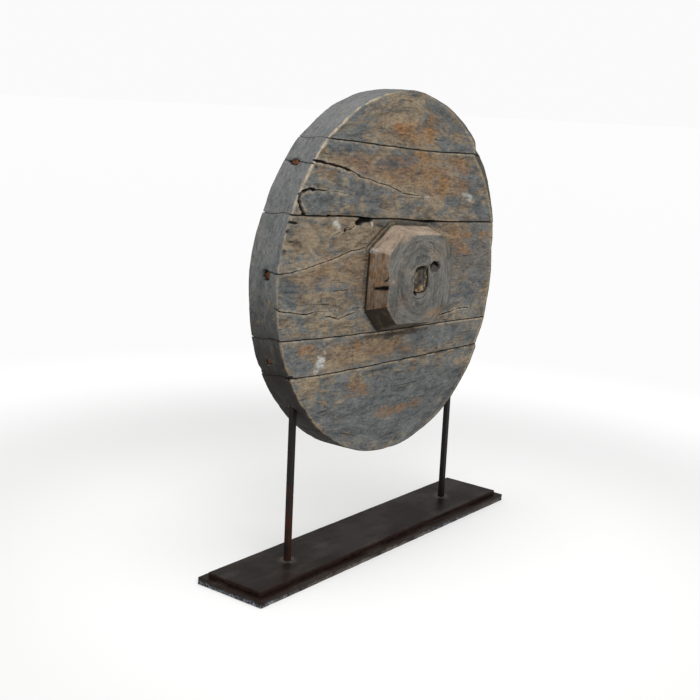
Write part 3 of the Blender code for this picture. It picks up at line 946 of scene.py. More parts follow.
def axle_outline(grow, ragged, count=72):
    """The axle's rounded outline, squarer at its upper right, with an uneven edge."""
    turn = 2 * pi * np.arange(count) / count
    x, z = np.cos(turn), np.sin(turn)
    square = 4 + 10 * (x > 0) * (z > 0)
    bulge = (np.abs(x) ** square + np.abs(z) ** square) ** (-1 / square)
    bulge = bulge * (1 - ragged * (1 + noise(np.stack([x, z], axis=1), 0.35, 91)))
    sides = [AXLE_CENTRE[k] + (AXLE_HALF[k] + grow) * way * bulge for k, way in enumerate((x, z))]
    return np.stack(sides, axis=1)


def hub_corners(share):
    """The hub's corners on the way from its front face (share 0) to its foot (share 1)."""
    return [(1 - share) * np.array(a) + share * np.array(b) for a, b in zip(HUB_FACE, HUB_FOOT)]


def hub_sides(points, face_y, foot_y):
    """Distances inside the hub's eight sides, and each side's inward direction."""
    corners = hub_corners(np.clip((points[:, 1] - face_y) / (foot_y - face_y), 0, 1)[:, None])
    flat = points[:, [0, 2]]
    found = []
    for a, b in edges_of(corners):
        along = (b - a) / np.linalg.norm(b - a, axis=1)[:, None]
        inward = np.stack([-along[:, 1], along[:, 0]], axis=1)
        found.append((((flat - a) * inward).sum(axis=1), inward))
    return found


def hub_slot(points, depth):
    """The open crack in the hub's left side, from 0 to 1, and a nick above it."""
    level = points[:, 2] + 1.1 * noise(points, 7, 95)
    taper = ease(depth, 14, 34)
    slot = fade(np.abs(level + 9.5 + 0.14 * depth), 2.6 - 1.2 * taper, 4.2 - 1.4 * taper)
    slot *= fade(depth, 32, 36)
    nick = fade(np.abs(level - 11 + 0.95 * depth), 1.5, 2.8) * fade(depth, 9, 12)
    return np.maximum(slot, nick) * (points[:, 0] < -90) * ease(depth, 0.5, 2.5)


def wear_hub(points, face_y, foot_y):
    """Moves the hub's points: rounded edges, rough sides, growth rings, cracks, slot and knot hole."""
    head = points[:, 1] < foot_y + 0.1
    depth = points[:, 1] - face_y
    sides = hub_sides(points, face_y, foot_y)
    flat = points[:, [0, 2]]
    reach = 1.8 * (1 + 0.5 * noise(points, 20, 81))
    face_move, *side_moves = rounded([depth] + [d for d, _ in sides], [reach] * 9)
    moved = points.copy()
    moved[:, 1] += head * face_move
    nearest = np.min([d for d, _ in sides], axis=0)
    rough = 0.5 * (1 + fractal(points, (26, 14, 26), 83)) + 0.25 * (1 + noise(points, 6, 84))
    for (distance, inward), move in zip(sides, side_moves):
        amount = move + rough * np.exp(-np.maximum(distance, 0) / 4) * (distance < nearest + 0.5)
        moved[:, [0, 2]] += inward * (head * amount)[:, None]
    ring_radius = np.hypot(flat[:, :1] - 8, flat[:, 1:] + 4)
    waves = 0.5 * (1 + fractal(flat, 34, 85)) + 0.3 * (1 + noise(ring_radius, 5, 86))
    on_face = head & (depth < 30)
    moved[:, 1] += on_face * (hub_cut(flat) + waves) * (1 - depth / HUB_HEIGHT).clip(0, 1)
    moved[:, 0] += head * SLOT_DEPTH * hub_slot(points, depth)
    return moved


def paint_hub(piece, face_y, foot_y):
    """Brown and rough sides, with a painted highlight on the top ones and painted shade on the lower ones,
    and a grey face with growth rings.
    """
    s = Surface(piece)
    flat, depth, on_head = s.flat, s.y - face_y, s.y < foot_y + 1
    front = s.facing(-1, 0.3, 0.7)
    side = (1 - front) * on_head
    offset = flat - np.array(AXLE_CENTRE)
    reach = np.hypot(offset[:, 0], offset[:, 1])
    angle = np.arctan2(offset[:, 1], offset[:, 0])
    degrees = np.degrees(angle)
    distances = np.array([d for d, _ in hub_sides(s.places, face_y, foot_y)])
    nearest = distances.min(axis=0)
    bottom, *_, top, top_left, left, bottom_left = fade(distances - nearest, 0.2, 1.6)
    top, left = np.maximum(top, top_left), side * left
    slot = hub_slot(s.places - [SLOT_DEPTH, 0, 0], depth)
    bore = ease(-s.outward(angle), 0.8, 0.95) * (reach < 36)
    # Painted shade along the hub's foot, where it meets the plank
    foot_painted_shade = ease(depth, foot_y - face_y - 5.5, foot_y - face_y - 1.5)
    arcs = np.exp(-(((reach - 64 - 3 * noise(flat, 20, 97)) / 2.5) ** 2)) * ease(np.abs(degrees), 80, 110)
    arcs = front * np.maximum(arcs, fade(nearest, 3, 8) * (s.x > 60))
    rubbed = fade(np.abs(angle_between(degrees, 138)), 14, 22) * fade(depth, 10, 16)
    side_rust = (0.1 * side * top + 0.9 * left) * ease(fractal(s.places, (16, 7, 12), 87), -0.5, 0.5)
    left_blue = 1.4 * left * ease(fractal(s.places, (12, 12, 9), 99), 0.1, 0.7)
    # The left side, darker towards its bottom
    left_soot = left * (0.12 + 0.3 * ease(-s.z, -5, 20))
    pale = 0.75 + 0.35 * fractal(s.places, (18, 9, 18), 94)
    s.write_masks(
        rust=np.maximum(side_rust, front * spots(flat, HUB_RUST, 88)),
        tan=side,
        blue=front * (0.7 + 0.6 * fractal(flat, (26, 16), 96)) + left_blue,
        paint=side * ease(depth, 22, 34) * spots(flat, HUB_PAINT, 90),
        # Painted shade on the lower sides and along the foot, with the darker left side, growth-ring arcs and
        # a darker band along the face's right edges
        soot=on_head * strongest(side * np.maximum(bottom_left, bottom), left_soot, foot_painted_shade, 0.4 * arcs),
        wear=front * 0.2 * fade(nearest, 1, 4) + side * 0.35 * top * ease(noise(s.places, 16, 93), -0.4, 0.4),
        # Painted shade in the face's cracks and hollows, the slot and the bore
        hollow=strongest(ease(hub_cut(flat), 0.5, 3) * (depth < 18), slot, bore),
        # Painted highlight on the top sides
        light=side * top * (1 - foot_painted_shade) * pale * (1 - 0.6 * rubbed),
    )
    on_end = np.abs(s.normals[:, 1]) > 0.5
    rings = 0.62 * reach + 4.5 * noise(flat, 30, 92) + 1.6 * noise(flat, 8, 98)
    along, deep = np.where(on_end, 50, 110) * np.sin(angle), np.where(on_end, 4, 20) * np.cos(angle)
    s.write_fibre(along + 5000, np.where(on_end, rings, s.y), deep)


def make_hub(material):
    """The hub block: a tapered head with eight sides, and its square tenon through the plank."""
    face_y, end_y = reach_along_y("hub_block")
    foot_y = FRONT - FIT_GAP
    counts = [max(6, round(np.hypot(b[0] - a[0], b[1] - a[1]) / 3)) for a, b in edges_of(HUB_FACE)]
    counts[6] *= 3  # the left side, for its slot
    shares = [0, 0.025, 0.06, 0.11, 0.18, 0.26, 0.34, 0.42, 0.5, 0.58, 0.66, 0.74, 0.82, 0.9, 0.96, 1]
    outlines = [stepped_outline(hub_corners(share), counts) for share in shares]
    tenon = square_outline(TENON_SIDE - FIT_GAP, TENON_CORNER, 6)
    bore = axle_outline(0.5, 0.0)[::-1]
    shell = Shell()
    face_ring, foot_ring = shell.tube(outlines, [face_y + share * (foot_y - face_y) for share in shares])
    tenon_foot, tenon_end = shell.straight(tenon, np.linspace(foot_y, end_y, 12))
    bore_front, bore_end = shell.straight(bore, np.linspace(face_y, end_y, 16))
    inner = face_points(outlines[0], [bore], 3.4, HUB_CRACKS, HUB_HOLLOWS)
    shell.face(face_ring, [bore_front], inner, face_y, True)
    shell.face(foot_ring, [tenon_foot], face_points(outlines[-1], [tenon], 8), foot_y, False)
    shell.face(tenon_end, [bore_end], face_points(tenon, [bore], 8), end_y, False)
    points = wear_hub(np.array(shell.points), face_y, foot_y)
    piece = add_piece("hub_block", points, shell.faces, material, "wheel")
    cut_away(piece, [grown_copy(f"tenon_wedge_{side}") for side in SIDES])
    paint_hub(piece, face_y, foot_y)


def wear_collar(points, face_y, foot_y):
    sides = hub_sides(points * np.array([1, -1, 1]), -face_y, -foot_y)
    depth = face_y - points[:, 1]
    distances = [d for d, _ in sides]
    reach = 2.8 * (1 + 0.5 * noise(points, 20, 101))
    face_move, *side_moves = rounded([depth] + distances, [reach] * 9)
    moved = points.copy()
    flat = points[:, [0, 2]]
    waves = 0.5 * (1 + fractal(flat, 30, 102)) + 0.3 * (1 + noise(flat, (24, 6), 103))
    moved[:, 1] -= (face_move + waves * (1 - depth / HUB_HEIGHT).clip(0, 1)) * (depth < HUB_HEIGHT - 1)
    outer = np.min(distances, axis=0) < 20
    rough = 0.5 * (1 + fractal(points, (26, 14, 26), 104))
    for (distance, inward), move in zip(sides, side_moves):
        amount = move + rough * np.exp(-np.maximum(distance, 0) / 4)
        moved[:, [0, 2]] += inward * (amount * outer)[:, None]
    return moved


def paint_collar(piece, face_y):
    s = Surface(piece)
    back = s.facing(1, 0.3, 0.7)
    side = 1 - back
    angle = np.arctan2(s.z, s.x)
    upward = np.sin(angle)
    # Painted highlight on the upward sides, which turn tan, and painted shade on the downward sides and in a
    # band along the foot
    s.write_masks(
        rust=0.5 * ease(fractal(s.places, (60, 20, 20), 105), 0.1, 0.9),
        tan=0.6 * side * ease(upward, 0.2, 0.8) + 0.3 * back,
        blue=back * 0.4,
        soot=ease(face_y - s.y, 43, 48) + 0.6 * side * ease(-upward, 0.2, 0.8),
        wear=back * 0.3,
        # Painted shade on the sides of the square hole
        hollow=side * (np.max(np.abs(s.flat), axis=1) < 61),
    )
    along = np.where(back > 0.5, s.x, 110 * upward)
    across = np.where(back > 0.5, s.z + 3 * noise(s.flat, 30, 106), s.y)
    s.write_fibre(along + 7000, across, 6 * np.cos(angle))


def make_collar(material):
    """The rear collar: the hub's mirror image, round the tenon's end."""
    foot_y, face_y = reach_along_y("rear_collar")
    shares = [1, 0.96, 0.88, 0.75, 0.6, 0.45, 0.32, 0.2, 0.11, 0.06, 0.025, 0]
    outlines = [stepped_outline(hub_corners(share), [16] * 8) for share in shares]
    hole = square_outline(TENON_SIDE, TENON_CORNER, 6)
    shell = Shell()
    foot_ring, face_ring = shell.tube(outlines, [face_y + share * (foot_y - face_y) for share in shares])
    hole_foot, hole_face = shell.straight(hole[::-1], np.linspace(foot_y, face_y, 10))
    shell.face(foot_ring, [hole_foot], face_points(outlines[0], [hole], 8), foot_y, True)
    shell.face(face_ring, [hole_face], face_points(outlines[-1], [hole], 5), face_y, False)
    points = wear_collar(np.array(shell.points), face_y, foot_y)
    piece = add_piece("rear_collar", points, shell.faces, material, "wheel")
    paint_collar(piece, face_y)


def break_axle(points, near_y):
    """The axle's broken end: ragged, and sunk at its top and its lower left."""
    flat = points[:, [0, 2]]
    depth = points[:, 1] - near_y
    rough = 0.5 * (1 + fractal(flat, (9, 12), 111, 4)) + 2.5 * ease(noise(flat, (5, 9), 112), 0.3, 0.7)
    rough += 10 * ease(flat[:, 1] + 5 * noise(flat, 5, 116), 15, 19)
    rough += 12 * ease(-flat[:, 0] - flat[:, 1] + 3 * noise(flat, 6, 118), 27, 33)
    points[:, 1] += rough * (1 - depth / 60).clip(0, 1)
    return points


def make_axle(material):
    """The broken-off wooden axle: a rough plug flush with the hub's face."""
    near_y, far_y = reach_along_y("axle_stub")
    outline = axle_outline(-0.2, 0.03)
    shell = Shell()
    levels = [near_y + depth for depth in (0, 1.5, 4, 8, 13, 20, 30, 45, 70, 100, 130, 150, far_y - near_y)]
    front_ring, rear_ring = shell.straight(outline, levels)
    shell.face(front_ring, [], face_points(outline, [], 1.8), near_y, True)
    shell.face(rear_ring, [], face_points(outline, [], 4), far_y, False)
    points = break_axle(np.array(shell.points), near_y)
    s = Surface(add_piece("axle_stub", points, shell.faces, material, "wheel"))
    front, rear = s.facing(-1, 0.1, 0.5), s.facing(1, 0.1, 0.5)
    low_half = front * fade(s.z - 4 * noise(s.places, 9, 119), 4, 14)
    depth = s.y - near_y
    light_bands = noise(s.places, (8, 30, 10), 114)
    s.write_masks(
        rust=0.5 * ease(noise(s.places, (9, 30, 16), 113), 0.1, 0.6) * low_half,
        tan=ease(light_bands, 0.0, 0.5) * low_half,
        blue=front - 0.8 * low_half * ease(light_bands, -0.2, 0.3),
        soot=0.8 * ease(noise(s.places, (6, 30, 8), 115), 0.0, 0.4) * front,
        wear=0.8 * ease(noise(s.places, (6, 30, 8), 117), 0.35, 0.7) * low_half,
        # Painted shade on the sunk parts of the broken end and on the sides inside the bore
        hollow=np.maximum(ease(depth, 7, 11) * (depth < 40), 1 - np.maximum(front, rear)),
    )
    s.write_fibre(s.z * 0.6 + 9000, s.x, s.y)


def middle_of(node):
    low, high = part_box(node)
    return ((low + high) / 2 - CENTRE) / MM


def rectangle(low_x, low_y, high_x, high_y, step):
    return outline_through([(low_x, low_y), (high_x, low_y), (high_x, high_y), (low_x, high_y)], step)


def wear_board(points, outline, thickness, chips):
    """Rounds and chips a board's edges. Its points are x, the way down from its top, and y."""
    x, down, y = points.T
    lows, highs = outline.min(axis=0), outline.max(axis=0)
    distances = [down, thickness - down, x - lows[0], highs[0] - x, y - lows[1], highs[1] - y]
    reach = 0.9 * (1 + 0.4 * noise(points, 30, 121))
    reach += chips * 1.6 * ease(noise(points, (26, 50, 26), 122), 0.2, 0.9)
    moves = rounded(distances, [reach, np.full(len(points), 0.6), reach, reach, reach, reach])
    rough = 0.5 * (1 + noise(points, (18, 8, 18), 123))
    rough += 1.4 * ease(noise(points, (30, 12, 30), 124), 0.45, 0.9)
    sides = [move + chips * rough * np.exp(-np.maximum(d, 0) / 3) for move, d in zip(moves, distances)]
    moved = points.copy()
    moved[:, 0] += sides[2] - sides[3]
    waves = 0.12 * (1 + fractal(points[:, [0, 2]], (160, 40), 125))
    moved[:, 1] += moves[0] - moves[1] + waves * (down < 0.1)
    moved[:, 2] += sides[4] - sides[5]
    return moved


def along_edge(x, marks):
    """From 0 to 1, where marks along the board's edge are, each with its middle, half length and strength."""
    covers = [strength * fade(np.abs(x - middle), half * 0.4, half) for middle, half, strength in marks]
    return strongest(*covers)


def paint_board(piece, outline, top, thickness, marked):
    """Worn edges, dust, and a paler ring round each upright's foot. A marked board also has smears and grit
    along its bottom edge.
    """
    s = Surface(piece)
    lows, highs = outline.min(axis=0), outline.max(axis=0)
    edge = np.min([s.x - lows[0], highs[0] - s.x, s.y - lows[1], highs[1] - s.y], axis=0)
    below = top - s.z
    above = thickness - below
    low_edge = marked * fade(above + 3 * noise(s.places, 9, 132), 3.5, 8.5) * fade(edge, 2, 6)
    rings = []
    for side in SIDES:
        foot = middle_of(f"upright_{side}")
        rings.append(0.7 * fade(np.hypot(s.x - foot.x, s.y - foot.y), 8, 22))
    dust = 0.16 * ease(fractal(s.places[:, :2], (80, 30), 131), 0.0, 1.0)
    s.write_masks(
        wear=np.maximum(0.35 * fade(edge + below, 1.5, 4), 0.8 * fade(edge + above, 1.5, 5)),
        paint=along_edge(s.x, BOARD_SMEARS) * low_edge,
        dust=np.maximum(strongest(dust, *rings) * (below < 2), along_edge(s.x, BOARD_GRIT) * low_edge),
    )


def make_board(node, material, mortises, chips, marked):
    """A base board with worn edges. The shell's y runs down from the board's top."""
    low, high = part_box(node)
    top, thickness = (high.z - CENTRE.z) / MM, (high.z - low.z) / MM
    bounds = [(corner - middle) / MM for point in (low, high) for corner, middle in zip(point.xy, CENTRE.xy)]
    outline = rectangle(*bounds, 3.4)
    holes = [rectangle(x - half, y - half, x + half, y + half, 3) for x, y, half in mortises]
    levels = [share * thickness for share in (0, 0.07, 0.18, 0.34, 0.5, 0.66, 0.82, 0.93, 1)]
    shell = Shell()
    top_ring, bottom_ring = shell.straight(outline, levels)
    ends = [shell.straight(hole[::-1], levels[::2]) for hole in holes]
    shell.face(top_ring, [ring for ring, _ in ends], face_points(outline, holes, 8), 0, True)
    shell.face(bottom_ring, [ring for _, ring in ends], face_points(outline, holes, 12), thickness, False)
    x, down, y = wear_board(np.array(shell.points), outline, thickness, chips).T
    points = np.stack([x, y, top - down], axis=1)
    piece = add_piece(node, points, shell.faces, material, "stand")
    paint_board(piece, outline, top, thickness, marked)


def rgb(*levels):
    """A colour from 0 to 255 as it looks on a screen, as the shader's linear one."""
    shares = [level / 255 for level in levels]
    linear = [((share + 0.055) / 1.055) ** 2.4 if share > 0.04 else share / 12.92 for share in shares]
    return (*linear, 1)


class Nodes:
    """A material's node tree, with short calls for the nodes used here."""

    def __init__(self, name):
        self.material = bpy.data.materials.new(name)
        self.material.use_nodes = True
        self.tree = self.material.node_tree
        self.shader = self.tree.nodes["Principled BSDF"]

    def put(self, socket, value):
        if isinstance(value, bpy.types.NodeSocket):
            self.tree.links.new(value, socket)
        else:
            socket.default_value = value

    def add(self, kind, inputs, output=0, **settings):
        node = self.tree.nodes.new(kind)
        for key, value in settings.items():
            setattr(node, key, value)
        for key, value in inputs.items():
            self.put(node.inputs[key], value)
        return node.outputs[output]

    def mask(self, name):
        return self.add("ShaderNodeAttribute", {}, "Fac", attribute_name=name)

    def fibre(self):
        return self.add("ShaderNodeAttribute", {}, "Vector", attribute_name="fibre")

    def place(self):
        return self.add("ShaderNodeTexCoord", {}, "Object")

    def noise(self, vector, scale, detail=4.0, roughness=0.6, distortion=0.0):
        inputs = {"Vector": vector, "Scale": scale, "Detail": detail}
        inputs.update({"Roughness": roughness, "Distortion": distortion})
        return self.add("ShaderNodeTexNoise", inputs)

    def grain(self, vector, scales, *details):
        """Noise with a scale for each direction."""
        stretched = self.add("ShaderNodeVectorMath", {0: vector, 1: scales}, operation="MULTIPLY")
        return self.noise(stretched, 1.0, *details)

    def span(self, value, low, high, to_low=0.0, to_high=1.0):
        inputs = {"Value": value, "From Min": low, "From Max": high, "To Min": to_low, "To Max": to_high}
        return self.add("ShaderNodeMapRange", inputs, interpolation_type="SMOOTHSTEP")

    def math(self, operation, a, b):
        return self.add("ShaderNodeMath", {0: a, 1: b}, operation=operation)

    def plus(self, a, b):
        return self.math("ADD", a, b)

    def times(self, a, b):
        return self.math("MULTIPLY", a, b)

    def mix(self, factor, a, b, blend="MIX"):
        return self.add("ShaderNodeMix", {0: factor, 6: a, 7: b}, 2, data_type="RGBA", blend_type=blend)

    def cover(self, colour, mask, strength, top):
        """The colour with another one over it, where the mask and the strength allow."""
        return self.mix(self.times(self.mask(mask), strength), colour, top)

    def shade(self, colour, level):
        """The colour times a level of grey."""
        grey = self.add("ShaderNodeCombineColor", {0: level, 1: level, 2: level})
        return self.mix(1.0, colour, grey, "MULTIPLY")

    def finish(self, colour, roughness, height, distance):
        """Puts the colour, roughness and bump height, a distance in metres, into the shader."""
        bump = self.add("ShaderNodeBump", {"Height": height, "Distance": distance, "Strength": 1.0})
        self.put(self.shader.inputs["Base Color"], colour)
        self.put(self.shader.inputs["Roughness"], roughness)
        self.put(self.shader.inputs["Normal"], bump)
        return self.material


RUST_DARK, RUST_LIGHT = rgb(104, 76, 50), rgb(158, 116, 72)
# Dark lines of the fine checks, and painted shade in cracks, holes, joint gaps and the bore
CRACK_COLOUR = rgb(26, 21, 18)
SOOT_AND_SHADE_COLOUR = rgb(34, 30, 26)
BEVEL_SHADE_COLOUR = rgb(66, 61, 56)
WEAR_COLOUR = rgb(182, 167, 143)
PAINT_COLOUR = rgb(192, 192, 186)
BOARD_RED, BOARD_TAN = rgb(52, 29, 23), rgb(70, 45, 35)
BOARD_PAINT = rgb(132, 140, 150)
DUST_COLOUR = rgb(140, 134, 126)
BACKGROUND = 0.96
AMBIENT = 0.42

Grain = namedtuple("Grain", "broad fine thread speck patch checks")


def wood_grain(n):
    """Noises along the fibres, from broad bands to threads, and the fine checks between them."""
    fibre = n.fibre()
    return Grain(
        broad=n.grain(fibre, (18, 46, 46), 7.0, 0.68, 0.7),
        fine=n.grain(fibre, (70, 240, 240), 5.0, 0.74),
        thread=n.grain(fibre, (30, 420, 420), 4.0, 0.7),
        speck=n.noise(n.place(), 210.0, 4.0, 0.7),
        patch=n.grain(fibre, (34, 58, 58), 7.0, 0.75, 0.4),
        checks=n.span(n.grain(fibre, (12, 230, 230), 3.0, 0.5, 0.3), 0.29, 0.33, 1.0, 0.0),
    )


def bare_wood(n, grain, cool, warm, light):
    """Wood that is cool or warm in patches, with rust, painted highlights and dark lines along the fibres."""
    drift = n.grain(n.fibre(), (28, 46, 46), 8.0, 0.78, 0.5)
    bias = n.times(n.math("SUBTRACT", n.mask("tan"), n.mask("blue")), 0.17)
    warmth = n.span(n.plus(drift, bias), 0.43, 0.58)
    tone = n.span(n.plus(n.times(grain.broad, 0.6), n.times(grain.fine, 0.4)), 0.36, 0.64)
    colour = n.mix(warmth, n.mix(tone, *cool), n.mix(tone, *warm))
    ochre = n.span(n.grain(n.place(), (70, 120, 120), 4.0, 0.7), 0.58, 0.68, 0.0, 0.55)
    colour = n.mix(ochre, colour, warm[1])
    rust = n.mix(n.span(grain.fine, 0.35, 0.65), RUST_DARK, RUST_LIGHT)
    colour = n.cover(colour, "rust", n.span(grain.patch, 0.3, 0.56), rust)
    # Painted highlight, where the light mask is set: the rim's upper left and the hub's top sides
    colour = n.cover(colour, "light", n.span(grain.patch, 0.38, 0.62, 0.95, 0.15), light)
    return n.shade(colour, n.times(n.span(grain.fine, 0.3, 0.5, 0.76), n.span(grain.thread, 0.3, 0.42, 0.66)))


def worn_wood(n, grain, colour, soot_colour):
    """Checks, soot and painted shade, painted shade on bevels, worn edges, paint, painted shade in cracks and
    holes, and fine specks over the wood.
    """
    colour = n.mix(n.times(grain.checks, 0.6), colour, CRACK_COLOUR)
    # Soot, and painted shade, in the soot colour
    colour = n.cover(colour, "soot", n.span(grain.patch, 0.8, 0.5, 0.65), soot_colour)
    # Painted shade on the broad bevels
    colour = n.cover(colour, "edge", n.span(grain.patch, 0.3, 0.6, 0.3, 0.8), BEVEL_SHADE_COLOUR)
    scuffs = n.span(n.noise(n.place(), 95.0, 6.0, 0.75), 0.36, 0.58, 0.15)
    colour = n.cover(colour, "wear", scuffs, WEAR_COLOUR)
    flakes = n.span(n.grain(n.fibre(), (90, 190, 190), 6.0, 0.75), 0.37, 0.55)
    colour = n.cover(colour, "paint", flakes, PAINT_COLOUR)
    # Painted shade in cracks, holes, joint gaps, the slot and the bore
    colour = n.mix(n.mask("hollow"), colour, CRACK_COLOUR)
    return n.shade(colour, n.span(grain.speck, 0.36, 0.64, 0.86, 1.1))


def old_wood(name, cool, warm, light, soot_colour=SOOT_AND_SHADE_COLOUR):
    """Weathered wood, cool and warm in patches, each with a dark and a light colour. The fibres follow
    the fibre attribute, and the masks add rust, paint, soot, worn edges, cracks, painted highlights and
    painted shade."""
    n = Nodes(name)
    grain = wood_grain(n)
    colour = worn_wood(n, grain, bare_wood(n, grain, cool, warm, light), soot_colour)
    relief = n.plus(n.times(grain.broad, 0.7), n.times(grain.fine, 0.55))
    relief = n.plus(relief, n.times(grain.thread, 0.2))
    relief = n.math("SUBTRACT", relief, n.times(grain.checks, 0.9))
    relief = n.plus(relief, n.times(grain.speck, 0.25))
    n.shader.inputs["Specular IOR Level"].default_value = 0.3
    return n.finish(colour, n.span(grain.broad, 0.3, 0.7, 0.92, 0.78), relief, 0.0014)


def iron(name, base, rust_colour, amount, roughness, metallic):
    """Old iron: dark skin with rust that comes and goes, and more of it at its lower left."""
    n = Nodes(name)
    place = n.place()
    cover = n.noise(place, 38.0, 8.0, 0.65)
    fine = n.noise(place, 420.0, 6.0, 0.7)
    across = n.add("ShaderNodeSeparateXYZ", {0: place}, "X")
    level = n.add("ShaderNodeSeparateXYZ", {0: place}, "Z")
    more = n.times(n.span(across, 0.0, -0.2, 0.0, 0.2), n.span(level, 0.2, 0.06))
    rust = n.span(n.plus(cover, more), 0.62 - amount * 0.3, 0.74 - amount * 0.3)
    colour = n.mix(rust, base, n.mix(fine, rust_colour, base))
    relief = n.plus(n.times(cover, 0.4), n.times(fine, 0.6))
    n.shader.inputs["Metallic"].default_value = metallic
    n.shader.inputs["Specular IOR Level"].default_value = 0.2
    return n.finish(colour, n.span(rust, 0.0, 1.0, roughness, 0.9), relief, 0.0007)


def steel(name):
    n = Nodes(name)
    fine = n.grain(n.place(), (900, 900, 120), 3.0)
    colour = n.mix(fine, rgb(150, 148, 143), rgb(188, 186, 180))
    n.shader.inputs["Metallic"].default_value = 1.0
    return n.finish(colour, n.span(fine, 0.3, 0.7, 0.3, 0.5), fine, 0.0001)


def board_finish(name, dark, warm):
    """Dark stained wood under a satin finish, worn and dusty where the masks say."""
    n = Nodes(name)
    place = n.place()
    grain = n.grain(place, (4, 70, 70), 7.0, 0.65, 0.5)
    cloud = n.noise(place, 11.0, 5.0, 0.6)
    scratch = n.grain(place, (40, 300, 300), 4.0, 0.7)
    wear = n.times(n.mask("wear"), n.span(n.noise(place, 90.0, 5.0, 0.7), 0.38, 0.56))
    dust = n.times(n.mask("dust"), n.span(n.noise(place, 500.0, 3.0, 0.7), 0.4, 0.62))
    colour = n.mix(n.span(grain, 0.35, 0.65), dark, warm)
    colour = n.mix(wear, colour, n.mix(cloud, BOARD_RED, BOARD_TAN))
    colour = n.cover(colour, "paint", n.span(n.noise(place, 190.0, 6.0, 0.75), 0.47, 0.56), BOARD_PAINT)
    colour = n.mix(dust, colour, DUST_COLOUR)
    rough = n.plus(n.span(cloud, 0.35, 0.65, 0.26, 0.42), n.times(scratch, 0.12))
    rough = n.plus(n.plus(rough, n.times(wear, 0.35)), n.times(dust, 0.3))
    relief = n.plus(n.times(grain, 0.7), n.times(scratch, 0.3))
    n.shader.inputs["Specular IOR Level"].default_value = 0.14
    return n.finish(colour, rough, relief, 0.0004)


def set_material(node, material, slot):
    """A CAD node that keeps its shape gets its finish."""
    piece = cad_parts[node]
    piece.data.materials.clear()
    piece.data.materials.append(material)


def make_floor():
    """A pale floor that turns as bright as the background far from the object."""
    n = Nodes("pale_floor")
    far = n.span(n.add("ShaderNodeVectorMath", {0: n.place()}, "Value", operation="LENGTH"), 0.45, 1.9)
    n.shader.inputs["Roughness"].default_value = 0.9
    n.shader.inputs["Specular IOR Level"].default_value = 0.1
    n.put(n.shader.inputs["Base Color"], n.mix(far, (0.8, 0.8, 0.795, 1), (0, 0, 0, 1)))
    n.put(n.shader.inputs["Emission Color"], (BACKGROUND, BACKGROUND, BACKGROUND, 1))
    n.put(n.shader.inputs["Emission Strength"], n.span(far, 0.0, 1.0, 0.2, 1.0))
    radius, count = 60, 64
    turn = [2 * pi * i / count for i in range(count)]
    mesh = bpy.data.meshes.new("floor")
    mesh.from_pydata([(radius * cos(t), radius * sin(t), 0) for t in turn], [], [list(range(count))])
    mesh.materials.append(n.material)
    link("floor", mesh)


def make_world():
    """Even light all round, and a brighter background for the camera."""
    world = bpy.data.worlds.new("studio")
    bpy.context.scene.world = world
    world.use_nodes = True
    tree = world.node_tree
    shader = tree.nodes["Background"]
    ray = tree.nodes.new("ShaderNodeLightPath")
    level = tree.nodes.new("ShaderNodeMapRange")
    level.inputs["To Min"].default_value = AMBIENT
    level.inputs["To Max"].default_value = BACKGROUND
    tree.links.new(ray.outputs["Is Camera Ray"], level.inputs["Value"])
    tree.links.new(level.outputs["Result"], shader.inputs["Strength"])
    shader.inputs["Color"].default_value = (1, 1, 1, 1)


def place_and_aim(thing, place, direction, roll=0):
    thing.location = place
    thing.rotation_mode = "QUATERNION"
    thing.rotation_quaternion = direction.to_track_quat("-Z", "Y") @ Quaternion((0, 0, 1), roll)


def add_light(name, place, aim, size, power):
    light = bpy.data.lights.new(name, "AREA")
    light.shape = "DISK"
    light.size = size
    light.energy = power
    place_and_aim(link(name, light), place, Vector(aim) - Vector(place))


def make_camera():
    camera = link("camera", bpy.data.cameras.new("camera"))
    camera.data.sensor_width = 36
    camera.data.lens = 61.482
    azimuth, elevation, roll = radians(-52.54), radians(12.114), radians(2.754)
    back = Vector((sin(azimuth) * cos(elevation), -cos(azimuth) * cos(elevation), sin(elevation)))
    place_and_aim(camera, (-1.8651, -1.3637, 0.8856), -back, roll)
    bpy.context.scene.camera = camera


bpy.context.scene.view_settings.view_transform = "Standard"
make_camera()
make_world()
make_floor()
add_light("top", (-0.3, -0.3, 3.2), (0, 0, 0.4), 2.6, 60)
add_light("front", (-2.2, -3.0, 2.6), (0, 0, 0.5), 2.4, 55)

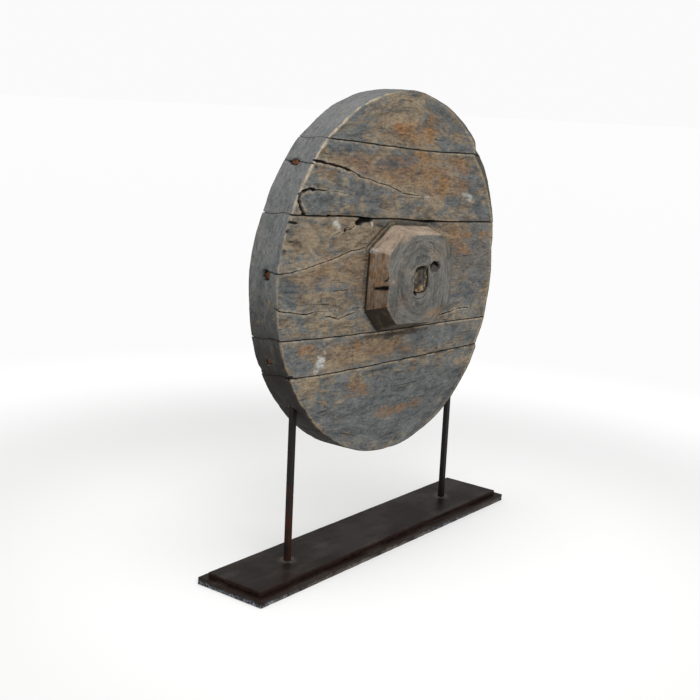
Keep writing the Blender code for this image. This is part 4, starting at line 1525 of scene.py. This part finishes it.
# Each wood's cool and warm colours, dark and light, the colour of its painted highlights, and the colour of
# its soot and painted shade
plank_wood = old_wood(
    "plank_wood",
    (rgb(70, 74, 76), rgb(114, 116, 114)),
    (rgb(92, 80, 66), rgb(152, 136, 112)),
    rgb(112, 112, 112),
)
hub_wood = old_wood(
    "hub_wood",
    (rgb(73, 73, 70), rgb(119, 117, 111)),
    (rgb(104, 89, 74), rgb(158, 140, 122)),
    rgb(176, 157, 144),
    rgb(44, 35, 27),
)
axle_wood = old_wood(
    "axle_wood",
    (rgb(40, 37, 32), rgb(80, 74, 64)),
    (rgb(84, 66, 48), rgb(158, 134, 100)),
    rgb(120, 110, 100),
)
dowel_wood = old_wood(
    "dowel_wood",
    (rgb(90, 72, 54), rgb(128, 106, 82)),
    (rgb(110, 90, 66), rgb(150, 128, 100)),
    rgb(140, 120, 96),
)
rusty_iron = iron("rusty_iron", rgb(74, 44, 30), rgb(158, 98, 58), 0.8, 0.85, 0.1)
black_iron = iron("black_iron", rgb(18, 13, 13), rgb(78, 41, 26), 0.22, 0.55, 0.0)
screw_finish = steel("screw_finish")
base_finish = board_finish("base_finish", rgb(24, 16, 12), rgb(34, 24, 19))

# What a CAD node's name starts with, its material and its slot. The first one that fits counts.
FINISHES = [
    ("upright_screw", screw_finish, "screw_steel"),
    ("board_screw", screw_finish, "screw_steel"),
    ("upright", black_iron, "black_iron"),
    ("rim_pin", rusty_iron, "rusty_iron"),
    ("dowel", dowel_wood, "dowel_wood"),
    ("tenon_wedge", dowel_wood, "dowel_wood"),
]

for plank in PLANK_ORDER:
    make_plank(plank, plank_wood)
make_hub(hub_wood)
make_collar(hub_wood)
make_axle(axle_wood)
mortises = []
for side in SIDES:
    low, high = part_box(f"upright_{side}")
    middle = middle_of(f"upright_{side}")
    mortises.append((middle.x, middle.y, (high.x - low.x) / 2 / MM + 0.4))
make_board("base_lower_board", base_finish, [], 1.0, True)
make_board("base_upper_board", base_finish, mortises, 0.25, False)
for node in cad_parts:
    fitting = [(material, slot) for start, material, slot in FINISHES if node.startswith(start)]
    if fitting:
        set_material(node, *fitting[0])
